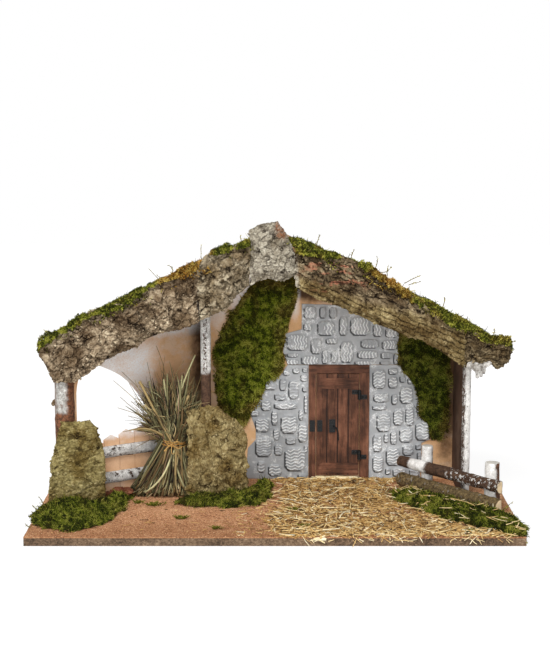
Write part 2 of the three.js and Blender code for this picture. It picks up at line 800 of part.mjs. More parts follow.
for (const [place, { along: distance, radius, height }] of Object.entries(FENCE_POSTS)) {
  const post = add(`fence_post_${place}`, branch(height, radius / 1.05, radius, 0.06), "birch", fence);
  post.position.set(distance, radius + SEAT, 0);
}

for (const [place, { height, radius }] of Object.entries(FENCE_RAILS)) {
  const half = halfBranch(FENCE_RAIL_LENGTH, 2 * radius, radius * 1.3, height);
  const rail = add(`fence_rail_${place}`, half, "birchDark", fence);
  rail.rotation.y = Math.PI / 2;
  rail.position.z = height;
}

// Cork bark: a broken edge along the roof, an upright piece over the ridge and two slabs that
// lean on the posts

function bark({ top, bottom, back, thickness, columns, rows, seed, rim }) {
  const lift = ([x, z]) => [x, z + GROUND];
  return mat({
    edges: [top.map(lift), bottom.map(lift)],
    columns: rows,
    rows: columns,
    thickness,
    rim,
    lumps: 0.35,
    seed,
    place: (z, x, height) => new THREE.Vector3(x, back - height, z),
  });
}

const roofEdge = {
  fascia_left_lower: {
    top: [[-250, 173], [-217, 194], [-191, 210], [-155, 218], [-138, 233], [-123, 243], [-81, 256]],
    bottom: [[-250, 166], [-245, 158], [-237, 134], [-212, 134], [-185, 153], [-129, 182], [-81, 198]],
    columns: 22,
    seed: 2,
  },
  fascia_left_upper: {
    top: [[-80.6, 258], [-69, 272], [-49, 277], [-26, 283]],
    bottom: [[-80.6, 199], [-69, 204], [-51, 212], [-40, 225], [-26, 236]],
    columns: 8,
    seed: 5,
  },
  ridge_bark: {
    top: [[-25.6, 296], [-12, 303], [5, 305], [9, 295], [14, 286], [21, 268]],
    bottom: [[-25.6, 237], [-9, 244], [4, 241], [13, 241], [21, 247]],
    columns: 8,
    seed: 7,
  },
  fascia_right: {
    top: [[21.4, 275], [53, 271], [70, 270], [93, 258], [125, 237], [157, 215], [171, 203], [200, 195]],
    bottom: [[21.4, 236], [47, 221], [69, 214], [83, 206], [104, 196], [129, 186], [154, 180], [200, 148]],
    columns: 22,
    seed: 9,
  },
  fascia_right_end: {
    top: [[200.4, 194], [222, 182], [241, 181], [250, 170]],
    bottom: [[200.4, 148], [212, 152], [222, 157], [229, 149], [240, 147], [250, 163]],
    columns: 6,
    seed: 11,
  },
};
for (const [name, piece] of Object.entries(roofEdge))
  add(name, bark({ ...piece, back: BARK_BACK, thickness: BARK_THICKNESS, rows: 5, rim: 0.35 }), "bark");

const leftSlabBack = LEFT_POST.y - LEFT_POST_RADIUS - SEAT;
const middleSlabBack = PARTITION_FRONT - STRIP_DEPTH - SEAT;
add(
  "left_cork_slab",
  bark({
    top: [[-243, 8], [-236, 62], [-231, 91], [-195, 92], [-187, 82], [-182, 62]],
    bottom: [[-243, 0], [-182, 0]],
    back: leftSlabBack,
    thickness: SLAB_THICKNESS,
    columns: 8,
    rows: 8,
    seed: 13,
    rim: 0.3,
  }),
  "bark",
);
add(
  "middle_cork_slab",
  bark({
    top: [[-95, 96], [-91, 101], [-64, 103], [-52, 95], [-43, 89], [-33, 83], [-30, 70]],
    bottom: [[-95, 0], [-30, 0]],
    back: middleSlabBack,
    thickness: SLAB_THICKNESS,
    columns: 8,
    rows: 9,
    seed: 17,
    rim: 0.3,
  }),
  "bark",
);

// Moss and straw

const roofTop = (x) => RIDGE - Math.abs(x) * ROOF_SLOPE;

// The roof's moss is heaped at the front, where it stands over the bark's edge. Its crest is given
// as [x, height above the ground].
const roofMoss = {
  moss_roof_left: {
    left: -240,
    right: -12,
    crest: [
      [-238, 190], [-203, 206], [-176, 216], [-143, 231],
      [-121, 243], [-88, 258], [-60, 272], [-12, 288],
    ],
    seed: 19,
  },
  moss_roof_right: {
    left: 12,
    right: 240,
    crest: [
      [12, 292], [35, 283], [53, 273], [86, 262], [107, 252],
      [125, 240], [153, 222], [171, 213], [238, 176],
    ],
    seed: 23,
  },
};
for (const [name, { left, right, crest, seed }] of Object.entries(roofMoss)) {
  const heap = (x) => (GROUND + along(crest, x) - roofTop(x)) / ROOF_MOSS_THICKNESS;
  const front = (y) => 1 - THREE.MathUtils.smoothstep(y, CREST_DEPTH, 3 * CREST_DEPTH);
  const place = (x, y, height) =>
    new THREE.Vector3(x, y, roofTop(x) + SEAT + height * lerp(1, heap(x), front(y)));
  const edges = [
    [[ROOF_FRONT + SEAT, left], [BACK_WALL_FRONT - 20, left + 12]],
    [[ROOF_FRONT + SEAT, right], [BACK_WALL_FRONT - 20, right - 4]],
  ];
  const shape = { columns: 20, rows: 8, thickness: ROOF_MOSS_THICKNESS, rim: 0.5, lumps: 0.4, grain: 14 };
  add(name, mat({ ...shape, edges, seed, place }), "moss");
}

const raised = (points) => points.map(([z, x]) => [z + GROUND, x]);
const onWall = (x, z, height) => new THREE.Vector3(x, BACK_WALL_FRONT - height, z);
const clearOfCards = (geometry) =>
  cut(
    geometry,
    ...[leftCardOutline, rightCardOutline, upperCardOutline].map((outline) =>
      plate(shapeOf(grown(outline, SEAT)), 0, BACK_WALL_FRONT + 1),
    ),
  );
add(
  "moss_wall_left",
  clearOfCards(
    mat({
      edges: [
        raised([[62, -43], [73, -54], [93, -66], [143, -68], [162, -65], [182, -56], [198, -46], [232, -22]]),
        raised([[62, -36], [84, -20], [103, -12], [119, 8], [158, 14], [186, 18], [202, 26], [232, 22]]),
      ],
      columns: 10,
      rows: 14,
      thickness: WALL_MOSS_THICKNESS,
      rim: 0.3,
      lumps: 0.4,
      seed: 29,
      place: onWall,
    }),
  ),
  "moss",
);
add(
  "moss_wall_right",
  clearOfCards(
    mat({
      edges: [
        raised([[47, 180], [67, 166], [103, 156], [127, 138], [170, 136]]),
        raised([[47, 190], [70, 197], [170, 197]]),
      ],
      columns: 8,
      rows: 12,
      thickness: WALL_MOSS_THICKNESS,
      rim: 0.3,
      lumps: 0.4,
      seed: 31,
      place: onWall,
    }),
  ),
  "moss",
);

const onGround = (x, y, height) => new THREE.Vector3(x, y, GROUND + height);
const groundMats = {
  moss_ground_left: {
    edges: [
      [[-100, -220], [-85, -240], [-60, -249], [-16, -249], [-10, -180], [20, -178], [38, -168]],
      [[-100, -196], [-85, -180], [-60, -168], [-16, -160], [-10, -160], [20, -160], [38, -162]],
    ],
    thickness: 11,
    columns: 8,
    rows: 14,
    seed: 37,
  },
  moss_ground_middle: {
    edges: [
      [[-12, -85], [0, -108], [8, -108], [13, -27], [80, -20]],
      [[-12, -40], [0, -18], [8, -14], [13, -9], [80, -4]],
    ],
    thickness: 14,
    columns: 8,
    rows: 12,
    seed: 41,
  },
  moss_ground_right: {
    edges: [
      [[-122, 238], [-90, 205], [-60, 175], [-20, 150], [20, 130], [55, 126]],
      [[-122, 249.5], [-90, 249.5], [-60, 249.5], [-44, 233], [-20, 208], [55, 148]],
    ],
    thickness: 11,
    columns: 8,
    rows: 12,
    seed: 43,
  },
};
for (const [name, piece] of Object.entries(groundMats))
  add(name, mat({ ...piece, rim: 0.3, lumps: 0.5, place: onGround }), "moss");

add(
  "straw_mat",
  mat({
    edges: [
      [[-124, 6], [-60, -8], [0, 10], [60, 8], [108, 14]],
      [[-124, 234], [-90, 200], [-60, 171], [-20, 147], [20, 127], [55, 123], [108, 130]],
    ],
    columns: 12,
    rows: 12,
    thickness: STRAW_THICKNESS,
    rim: 0.4,
    lumps: 0.5,
    seed: 47,
    place: onGround,
  }),
  "straw",
);

// Sheaf: stems that cross the tie in a bundle and spread above and below it

function stem(ring, k, count) {
  const angle = (2 * Math.PI * (k + 0.37 * ring)) / count;
  const reach = (ring + 1) / STEM_RINGS.length;
  const twist = 0.9 * Math.sin(k * 1.7 + ring);
  const shift = (k * 7 + ring * 3) % 11;
  const level = (place, height, share, turn, flat) => {
    const x = place.x + place.radius * share * Math.cos(angle + turn);
    const y = SHEAF_Y + place.radius * share * Math.sin(angle + turn) * flat;
    return [x, y, GROUND + height];
  };
  const mid = (from, to, share) => from.map((v, i) => lerp(v, to[i], share));
  const foot = level(SHEAF_FOOT, 0, reach, 0, SHEAF_FLATNESS);
  const under = level(SHEAF_WAIST, SHEAF_WAIST.height - TIE_HEIGHT, reach, twist / 2, 1);
  const over = level(SHEAF_WAIST, SHEAF_WAIST.height + TIE_HEIGHT, reach, twist / 2, 1);
  const head = level(SHEAF_HEAD, SHEAF_HEAD.height + 1.6 * shift - 14 * reach, reach, twist, SHEAF_FLATNESS);
  const curve = [foot, mid(foot, under, 0.62), under, over, mid(over, head, 0.4), head];
  curve[1][2] = lerp(foot[2], under[2], 0.5);
  curve[4][2] = lerp(over[2], head[2], 0.5);
  const taper = [1, 1, 1, 1, 0.9, 0.5];
  return loft(
    curve.map(([x, y, z], i) =>
      [0, 1, 2].map((corner) => {
        const around = degrees(120 * corner + 50 * k);
        const r = STEM_RADIUS * taper[i];
        return new THREE.Vector3(x + r * Math.cos(around), y + r * Math.sin(around), z);
      }),
    ),
  );
}

const waistRadius = SHEAF_WAIST.radius + STEM_RADIUS;
const core = rod(
  SHEAF_WAIST.x,
  SHEAF_Y,
  GROUND + SHEAF_WAIST.height - TIE_HEIGHT,
  GROUND + SHEAF_WAIST.height + TIE_HEIGHT,
  waistRadius + 0.2,
  16,
);
const stems = STEM_RINGS.flatMap((count, ring) =>
  Array.from({ length: count }, (_, k) => solid(stem(ring, k, count))),
);
// The pockets shut in between stems are filled: only the outermost shell is kept.
const bundle = wasm.Manifold.union([solid(core), ...stems])
  .decompose()
  .reduce((largest, shell) => (shell.volume() > largest.volume() ? shell : largest));
add("sheaf", geometryOf(bundle), "sheaf");

function tie() {
  const middle = GROUND + SHEAF_WAIST.height;
  const inner = waistRadius + 0.2 + SEAT;
  const bottom = middle - TIE_HEIGHT / 2;
  const top = middle + TIE_HEIGHT / 2;
  const outer = rod(SHEAF_WAIST.x, SHEAF_Y, bottom, top, inner + TIE_THICKNESS, 20);
  return cut(outer, rod(SHEAF_WAIST.x, SHEAF_Y, bottom - 1, top + 1, inner, 20));
}

add("sheaf_tie", tie(), "straw");

export default stable;
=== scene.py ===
import math

import bpy
import numpy as np
from mathutils import Euler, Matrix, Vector


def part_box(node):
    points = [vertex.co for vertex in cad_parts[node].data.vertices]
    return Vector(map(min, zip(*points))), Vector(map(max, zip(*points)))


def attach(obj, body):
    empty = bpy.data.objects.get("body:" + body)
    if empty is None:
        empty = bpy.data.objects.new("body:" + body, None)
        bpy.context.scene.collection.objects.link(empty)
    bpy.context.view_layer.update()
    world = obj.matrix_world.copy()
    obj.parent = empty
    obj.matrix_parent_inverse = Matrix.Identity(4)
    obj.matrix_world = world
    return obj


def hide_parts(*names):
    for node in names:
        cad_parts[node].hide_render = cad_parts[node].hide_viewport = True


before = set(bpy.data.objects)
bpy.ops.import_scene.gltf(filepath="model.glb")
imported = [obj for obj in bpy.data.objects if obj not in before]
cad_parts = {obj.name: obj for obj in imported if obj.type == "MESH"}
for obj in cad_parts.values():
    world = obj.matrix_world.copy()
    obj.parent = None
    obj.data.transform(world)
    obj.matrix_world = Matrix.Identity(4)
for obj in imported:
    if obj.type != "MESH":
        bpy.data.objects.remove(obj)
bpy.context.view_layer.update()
MM = 0.001
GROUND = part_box("sand_layer")[1].z
ROOF_PITCH = math.radians(26.5)
print(len(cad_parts), "measured parts, ground at", round(GROUND / MM, 1), "mm")

# %% [markdown]
# ## Camera and light
# The photograph was taken from straight ahead and from a little above the roof, about 1.65 m away.
# A long lens keeps the uprights nearly parallel. The light is a photographer's tent: one large
# soft lamp in front and above, weaker ones from the left and the front, and a pale room all
# round. One bright room could light everything by itself, but bark and moss would look flat, so
# the room looks pure white to the camera and lights the object far less than that.
# %% Camera
CAMERA_PLACE = (0, -1.65, 0.446)
LOOKS_DOWN = math.radians(8.75)
LENS = 84.91
camera = bpy.data.objects.new("camera", bpy.data.cameras.new("camera"))
bpy.context.scene.collection.objects.link(camera)
camera.location = CAMERA_PLACE
camera.rotation_euler = (math.pi / 2 - LOOKS_DOWN, 0, 0)
camera.data.lens = LENS
bpy.context.scene.camera = camera
bpy.context.scene.view_settings.view_transform = "Standard"
print("camera", -CAMERA_PLACE[1], "m in front of the stable's middle")


# %% Lamps
LIT_PLACE = (0, 0, 0.12)


def lamp(name, place, size, watts):
    """A square lamp that shines at the stable's middle."""
    data = bpy.data.lights.new(name, "AREA")
    data.size = size
    data.energy = watts
    made = bpy.data.objects.new(name, data)
    bpy.context.scene.collection.objects.link(made)
    made.location = place
    made.rotation_euler = (Vector(LIT_PLACE) - Vector(place)).to_track_quat("-Z", "Y").to_euler()
    print(name, watts, "W")


lamp("key_lamp", (-0.3, -1.35, 1.6), size=0.7, watts=31)
lamp("side_lamp", (-1.4, -0.7, 0.8), size=0.8, watts=5)
lamp("front_lamp", (0.1, -1.9, 0.45), size=0.9, watts=13)

# %% [markdown]
# ## Shader maths in plain Python
# A material is a graph of nodes. It could be drawn by hand in the shader editor, or written node
# by node, but both are long and hard to read. So one small class wraps an output of a node, and
# its arithmetic adds Math nodes. Any other node comes from Finish.node, which takes the node's
# type, its settings and what goes into its sockets.
# %% A value in a material
class Value:
    """One output of a node. Arithmetic on it adds Math nodes to the same material."""

    def __init__(self, finish, socket):
        self.finish, self.socket = finish, socket

    def math(self, operation, *values):
        """A Math node that does one operation on some values."""
        return self.finish.node("ShaderNodeMath", {"operation": operation}, dict(enumerate(values)))

    def __add__(self, other):
        return self.math("ADD", self, other)

    def __sub__(self, other):
        return self.math("SUBTRACT", self, other)

    def __rsub__(self, other):
        return self.math("SUBTRACT", other, self)

    def __mul__(self, other):
        return self.math("MULTIPLY", self, other)

    def __truediv__(self, other):
        return self.math("DIVIDE", self, other)

    def __pow__(self, other):
        return self.math("POWER", self, other)

    def __abs__(self):
        return self.math("ABSOLUTE", self)

    __radd__ = __add__
    __rmul__ = __mul__

    def step(self, low, high):
        """Rises smoothly from 0 at low to 1 at high, or falls if low is the larger."""
        settings = {"interpolation_type": "SMOOTHSTEP"}
        return self.finish.node("ShaderNodeMapRange", settings, {0: self, 1: low, 2: high})

    def either(self, other):
        """The larger of two values."""
        return self.math("MAXIMUM", self, other)


# %% A material being made
class Finish:
    """A material, from its first node to its surface. Sizes are in millimetres."""

    def __init__(self, name):
        self.material = bpy.data.materials.new(name)
        self.material.use_nodes = True
        self.tree = self.material.node_tree
        self.tree.nodes.clear()

    def node(self, kind, settings=None, inputs=None, output=0):
        """Adds a node. A Value that goes into a socket is linked, and a number is typed in."""
        made = self.tree.nodes.new(kind)
        for key, value in (settings or {}).items():
            if key == "stops":
                self.set_stops(made.color_ramp, value)
            else:
                setattr(made, key, value)
        for key, value in (inputs or {}).items():
            if isinstance(value, Value):
                self.tree.links.new(value.socket, made.inputs[key])
            else:
                made.inputs[key].default_value = value
        return Value(self, made.outputs[output])

    def set_stops(self, ramp, stops):
        """Gives a colour ramp its stops of (place, colour)."""
        while len(ramp.elements) < len(stops):
            ramp.elements.new(1)
        for element, (place, colour) in zip(ramp.elements, stops):
            element.position = place
            element.color = tone(colour)

    def mix(self, share, first, second, blend="MIX"):
        """A colour between two colours."""
        first, second = (tone(c) if isinstance(c, str) else c for c in (first, second))
        settings = {"data_type": "RGBA", "blend_type": blend}
        return self.node("ShaderNodeMix", settings, {0: share, 6: first, 7: second}, 2)

    def ramp(self, value, *stops):
        """A colour for each value from 0 to 1, between stops of (place, colour)."""
        return self.node("ShaderNodeValToRGB", {"stops": stops}, {0: value})

    def place(self, stretch=(1, 1, 1)):
        """The place on the piece in millimetres, squeezed where a pattern is drawn out."""
        spot = self.node("ShaderNodeTexCoord", output="Object")
        scale = [1000 / s for s in stretch]
        return self.node("ShaderNodeMapping", None, {"Vector": spot, "Scale": scale})

    def axes(self):
        """The place along X, Y and Z."""
        spot = self.place()
        return [self.node("ShaderNodeSeparateXYZ", None, {0: spot}, k) for k in range(3)]

    def noise(self, size, detail=4, roughness=0.6, stretch=(1, 1, 1)):
        """Noise from 0 to 1 whose largest features are about size millimetres across."""
        inputs = {"Vector": self.place(stretch), "Scale": 1 / size, "Detail": detail}
        return self.node("ShaderNodeTexNoise", None, {**inputs, "Roughness": roughness})

    def strong(self, size, detail=6, roughness=0.75, stretch=(1, 1, 1)):
        """The same with the contrast raised."""
        return self.noise(size, detail, roughness, stretch).step(0.32, 0.68)

    def cells(self, size, output=0):
        """Rounded cells: the distance to the nearest one's middle, or its own colour."""
        inputs = {"Vector": self.place(), "Scale": 1 / size}
        return self.node("ShaderNodeTexVoronoi", None, inputs, output)

    def towards_the_front(self):
        """1 on faces that look at the viewer's side, and 0 on the others."""
        facing = self.node("ShaderNodeTexCoord", output="Normal")
        return self.node("ShaderNodeSeparateXYZ", None, {0: facing}, 1).step(0, -0.3)

    def painted(self, name):
        """A number that was stored on the mesh's points."""
        return self.node("ShaderNodeAttribute", {"attribute_name": name}, None, "Fac")

    def surface(self, colour, roughness, bump=None, bump_mm=0.3, specular=0.3):
        """Ends the material: colour and roughness over the surface, and small relief as bump."""
        given = {"Base Color": colour, "Roughness": roughness, "Specular IOR Level": specular}
        if bump is not None:
            inputs = {"Height": bump, "Distance": bump_mm * MM, "Strength": 1.0}
            given["Normal"] = self.node("ShaderNodeBump", None, inputs)
        shader = self.node("ShaderNodeBsdfPrincipled", None, given)
        end = self.tree.nodes.new("ShaderNodeOutputMaterial")
        self.tree.links.new(shader.socket, end.inputs["Surface"])


def tone(code):
    """A colour as it looks on a screen, such as 8d9092, as the numbers that a shader takes."""
    parts = [int(code[k : k + 2], 16) / 255 for k in (0, 2, 4)]
    return (*[p / 12.92 if p <= 0.04045 else ((p + 0.055) / 1.055) ** 2.4 for p in parts], 1)


print("colour 808080 as a shader takes it:", round(tone("808080")[0], 3))

# %% [markdown]
# ## The white room
# A product photograph shows the stable on white paper in front of a white wall. A lit paper floor
# and wall would need lamps of their own and would still turn grey in the corners. Here the camera
# sees an even white, while everything else gets a dimmer room, and the floor keeps the faint
# shadow under the stable.


# %% The room
def seen_directly(tree):
    """1 where the camera, a mirror or glass looks at something, and 0 for the light it gives."""
    rays = tree.nodes.new("ShaderNodeLightPath")
    seen = rays.outputs["Is Camera Ray"]
    for output in ("Is Glossy Ray", "Is Transmission Ray"):
        either = tree.nodes.new("ShaderNodeMath")
        either.operation = "MAXIMUM"
        tree.links.new(seen, either.inputs[0])
        tree.links.new(rays.outputs[output], either.inputs[1])
        seen = either.outputs[0]
    return seen


ROOM_LIGHT = 0.45
world = bpy.data.worlds.new("room")
bpy.context.scene.world = world
world.use_nodes = True
room = world.node_tree
level = room.nodes.new("ShaderNodeMapRange")
level.inputs["To Min"].default_value = ROOM_LIGHT
level.inputs["To Max"].default_value = 1
room.links.new(seen_directly(room), level.inputs["Value"])
backdrop = room.nodes["Background"]
backdrop.inputs["Color"].default_value = (1, 1, 1, 1)
room.links.new(level.outputs[0], backdrop.inputs["Strength"])
print("room lights with", ROOM_LIGHT, "and looks white")

# %% The paper floor
FLOOR_REACH = 3
PAPER_GLOW = 1.1
SHADOW_FADES = (0.35, 0.9)
PLAIN_NEAR = 0.8
floor_mesh = bpy.data.meshes.new("floor")
corners = [(x * FLOOR_REACH, y * FLOOR_REACH, 0) for x, y in ((-1, -1), (1, -1), (1, 1), (-1, 1))]
floor_mesh.from_pydata(corners, [], [(0, 1, 2, 3)])
floor = bpy.data.objects.new("floor", floor_mesh)
bpy.context.scene.collection.objects.link(floor)
paper = bpy.data.materials.new("white_paper")
paper.use_nodes = True
tree = paper.node_tree
matt = tree.nodes["Principled BSDF"]
matt.inputs["Base Color"].default_value = tone("f4f4f2")
matt.inputs["Roughness"].default_value = 0.9
matt.inputs["Specular IOR Level"].default_value = 0
white = tree.nodes.new("ShaderNodeEmission")
white.inputs["Strength"].default_value = PAPER_GLOW
spot = tree.nodes.new("ShaderNodeTexCoord")
away = tree.nodes.new("ShaderNodeVectorMath")
away.operation = "LENGTH"
tree.links.new(spot.outputs["Object"], away.inputs[0])
# Near the stable a fifth of the floor's look is its own shading, which holds the shadow.
plain = tree.nodes.new("ShaderNodeMapRange")
plain.inputs["From Min"].default_value = SHADOW_FADES[0]
plain.inputs["From Max"].default_value = SHADOW_FADES[1]
plain.inputs["To Min"].default_value = PLAIN_NEAR
plain.inputs["To Max"].default_value = 1
tree.links.new(away.outputs["Value"], plain.inputs["Value"])
share = tree.nodes.new("ShaderNodeMath")
share.operation = "MULTIPLY"
tree.links.new(plain.outputs[0], share.inputs[1])
blend = tree.nodes.new("ShaderNodeMixShader")
tree.links.new(seen_directly(tree), share.inputs[0])
tree.links.new(share.outputs[0], blend.inputs[0])
tree.links.new(matt.outputs[0], blend.inputs[1])
tree.links.new(white.outputs[0], blend.inputs[2])
tree.links.new(blend.outputs[0], tree.nodes["Material Output"].inputs["Surface"])
floor_mesh.materials.append(paper)
print("paper floor", 2 * FLOOR_REACH, "m wide")

# %% [markdown]
# ## Noise and meshes from arrays
# Bark, moss and straw need tens of thousands of small shapes. Blender's modifiers or a particle
# system could spread them, but their leaves couldn't follow a dry rim or a torn edge so closely.
# numpy works on all of them at once, so each helper below takes whole arrays of points. The noise
# is hashed from each point's place, which gives the same result on every run.


# %% Noise
def scrambled(cell, seed):
    """A number from 0 to 1 that looks random and depends only on a lattice point and the seed.
    The large odd numbers mix the bits of the point's whole coordinates."""
    x, y, z = (cell[..., k].astype(np.int64).astype(np.uint32) for k in range(3))
    mixed = x * np.uint32(374761393) + y * np.uint32(668265263) + z * np.uint32(2246822519)
    mixed = mixed + np.uint32(seed * 7919)
    mixed = (mixed ^ (mixed >> np.uint32(13))) * np.uint32(1274126177)
    return (mixed ^ (mixed >> np.uint32(16))) / 4294967295.0


def lumps(points, size, seed):
    """Noise from -1 to 1 with soft lumps of a size in millimetres: one number, or one per axis."""
    scaled = points / (np.asarray(size, float) * MM)
    cell = np.floor(scaled)
    part = scaled - cell
    part = part * part * (3 - 2 * part)
    total = np.zeros(len(points))
    for corner in np.ndindex(2, 2, 2):
        weight = np.prod(np.where(np.array(corner) == 1, part, 1 - part), axis=1)
        total += weight * scrambled(cell + corner, seed)
    return 2 * total - 1


def rough(points, size, seed, layers=3):
    """Lumps with smaller lumps on them."""
    sizes = [np.asarray(size, float) / 2**k for k in range(layers)]
    return sum(lumps(points, s, seed + k) / 2**k for k, s in enumerate(sizes)) / 1.6


def drift(points, size, seed):
    """Rough noise along each axis, to bend a pattern."""
    return np.stack([rough(points, size, seed + 10 * k) for k in range(3)], axis=1)


sample = np.random.default_rng(1).uniform(-0.1, 0.1, (1000, 3))
print("rough noise spreads over", np.round(rough(sample, 5, 1).std(), 2))


# %% Cracked plates
def plates(points, size, seed):
    """Cracked plates: how far each point is from a crack (0 in it), and a number for its plate."""
    scaled = points / (np.asarray(size, float) * MM)
    cell = np.floor(scaled)
    nearest = np.full(len(points), 9.0)
    second = nearest.copy()
    label = np.zeros(len(points))
    for step in np.ndindex(3, 3, 3):
        home = cell + np.array(step) - 1
        centre = home + np.stack([scrambled(home, seed + k) for k in range(3)], axis=1)
        distance = np.linalg.norm(scaled - centre, axis=1)
        closer = distance < nearest
        second = np.where(closer, nearest, np.minimum(second, distance))
        label = np.where(closer, scrambled(home, seed + 3), label)
        nearest = np.where(closer, distance, nearest)
    return second - nearest, label


def courses(points, size, seed):
    """The same for plates that lie in rows, as on bark with long ridges and short cross cracks."""
    long, _, high = size
    row = np.floor(points[:, 2] / (high * MM))
    above = (points[:, 2] / (high * MM) - row) * high
    stacked = np.stack([row, 0 * row, 0 * row], axis=1)
    own = long * (0.7 + 0.6 * scrambled(stacked, seed + 1))
    shifted = points[:, 0] / MM / own + 9 * scrambled(stacked, seed)
    column = np.floor(shifted)
    along = (shifted - column) * own
    edge = np.minimum(np.minimum(above, high - above), 2.2 * np.minimum(along, own - along))
    return edge / 4, scrambled(np.stack([row, column, 0 * row], axis=1), seed + 2)


def ease(values, low, high):
    """Rises smoothly from 0 at low to 1 at high."""
    part = np.clip((values - low) / (high - low), 0, 1)
    return part * part * (3 - 2 * part)


print("share of points in a crack", np.mean(plates(sample, (9, 9, 9), 1)[0] < 0.1))


# %% Meshes
def piece(name, points, faces, finish, slot, replaces=(), body="stable", smooth=True, **painted):
    """A mesh object that rides on a body. What is painted is stored on its points."""
    mesh = bpy.data.meshes.new(name)
    mesh.vertices.add(len(points))
    mesh.vertices.foreach_set("co", np.asarray(points, np.float32).ravel())
    mesh.loops.add(faces.size)
    mesh.loops.foreach_set("vertex_index", np.asarray(faces, np.int32).ravel())
    mesh.polygons.add(len(faces))
    mesh.polygons.foreach_set("loop_start", np.arange(0, faces.size, faces.shape[1]))
    mesh.update(calc_edges=True)
    mesh.polygons.foreach_set("use_smooth", np.full(len(faces), smooth))
    for key, numbers in painted.items():
        stored = mesh.attributes.new(key, "FLOAT", "POINT")
        stored.data.foreach_set("value", np.asarray(numbers, np.float32))
    made = bpy.data.objects.new(name, mesh)
    bpy.context.scene.collection.objects.link(made)
    mesh.materials.append(finish.material)
    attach(made, body)
    if replaces:
        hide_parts(*replaces)
    print(name, len(faces), "faces")


# %% A measured part that keeps its mesh
def dressed(node, finish, bevel=0.0):
    """A measured part that stays as it is, with a finish and slightly worn edges."""
    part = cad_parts[node]
    part.data.materials.clear()
    part.data.materials.append(finish.material)
    if bevel:
        worn = part.modifiers.new("worn_edges", "BEVEL")
        worn.width = bevel * MM
        worn.segments = 2
        worn.limit_method = "ANGLE"


# %% A measured part's mesh made finer
def refined(node, voxel, smoothing=2):
    """A measured part's mesh made again from small even faces: its points, faces and normals."""
    copy = bpy.data.objects.new("refined_copy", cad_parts[node].data.copy())
    bpy.context.scene.collection.objects.link(copy)
    remesh = copy.modifiers.new("remesh", "REMESH")
    remesh.mode = "VOXEL"
    remesh.voxel_size = voxel * MM
    soften = copy.modifiers.new("soften", "SMOOTH")
    soften.iterations = smoothing
    mesh = copy.evaluated_get(bpy.context.evaluated_depsgraph_get()).to_mesh()
    points = np.zeros(len(mesh.vertices) * 3)
    mesh.vertices.foreach_get("co", points)
    normals = np.zeros(len(mesh.vertices) * 3)
    mesh.vertices.foreach_get("normal", normals)
    faces = np.zeros(len(mesh.loops), int)
    mesh.loops.foreach_get("vertex_index", faces)
    assert len(faces) == 4 * len(mesh.polygons)
    bpy.data.objects.remove(copy)
    return points.reshape(-1, 3), faces.reshape(-1, 4), normals.reshape(-1, 3)


ridge_points, ridge_faces, _ = refined("ridge_bark", 2)
print("ridge_bark has", len(ridge_faces), "even faces of about 2 mm")


# %% Arrays of faces
def split(faces):
    """Four-cornered faces as triangles."""
    return np.concatenate([faces[:, [0, 1, 2]], faces[:, [0, 2, 3]]])


def merged(*parts):
    """Several (points, faces, painted) as one."""
    start = np.cumsum([0] + [len(p[0]) for p in parts])
    points = np.concatenate([p[0] for p in parts])
    faces = np.concatenate([p[1] + s for p, s in zip(parts, start)])
    painted = {key: np.concatenate([p[2][key] for p in parts]) for key in parts[0][2]}
    return points, faces, painted


def unit(vectors):
    """The same directions with a length of 1."""
    return vectors / np.linalg.norm(vectors, axis=-1, keepdims=True)


print("a square as triangles", split(np.array([[0, 1, 2, 3]])).tolist())


# %% Tubes
def tubes(paths, radii, width=1.0, turn=None):
    """Closed four-sided tubes along many paths: paths is (tubes, points, 3), radii (tubes, points).
    A width below or above 1 makes them flat, as blades are, and turn says towards what."""
    count, steps, _ = paths.shape
    ahead = unit(np.gradient(paths, axis=1))
    if turn is None:
        turn = np.array([[0.31, 0.22, 0.93]])
    side = unit(np.cross(ahead, turn[:, None, :]))
    up = np.cross(ahead, side)
    side = side * np.broadcast_to(width, count)[:, None, None]
    corners = np.stack([side, up, -side, -up], axis=2)
    points = paths[:, :, None] + radii[:, :, None, None] * corners
    ring = np.arange(count * steps * 4).reshape(count, steps, 4)
    after = np.roll(ring, -1, axis=2)
    walls = np.stack([ring[:, :-1], after[:, :-1], after[:, 1:], ring[:, 1:]], axis=-1)
    faces = np.concatenate([walls.reshape(-1, 4), ring[:, 0, ::-1], ring[:, -1]])
    return points.reshape(-1, 3), faces


points, faces = tubes(np.array([[(0, 0, 0), (0, 0, 1), (0, 0, 2)]], float), np.ones((1, 3)))
print("a tube through 3 points has", len(faces), "faces")


# %% Spikes
THIRDS_OF_A_TURN = (0, 2.094, 4.189)


def spikes(roots, tips, radius):
    """Closed three-sided spikes, many at once, as the leaves of moss are."""
    ahead = unit(tips - roots)
    side = unit(np.cross(ahead, np.array([0.37, 0.84, 0.39])))
    up = np.cross(ahead, side)
    radius = np.broadcast_to(radius, len(roots))[:, None]
    base = [roots + radius * (side * math.cos(a) + up * math.sin(a)) for a in THIRDS_OF_A_TURN]
    points = np.stack([*base, tips], axis=1)
    first = 4 * np.arange(len(roots))[:, None, None]
    pattern = np.array([[0, 2, 1], [0, 1, 3], [1, 2, 3], [2, 0, 3]])
    return points.reshape(-1, 3), (first + pattern).reshape(-1, 3)


points, faces = spikes(np.zeros((1, 3)), np.array([[0, 0, 1.0]]), 0.2)
print("a spike has", len(points), "points and", len(faces), "faces")


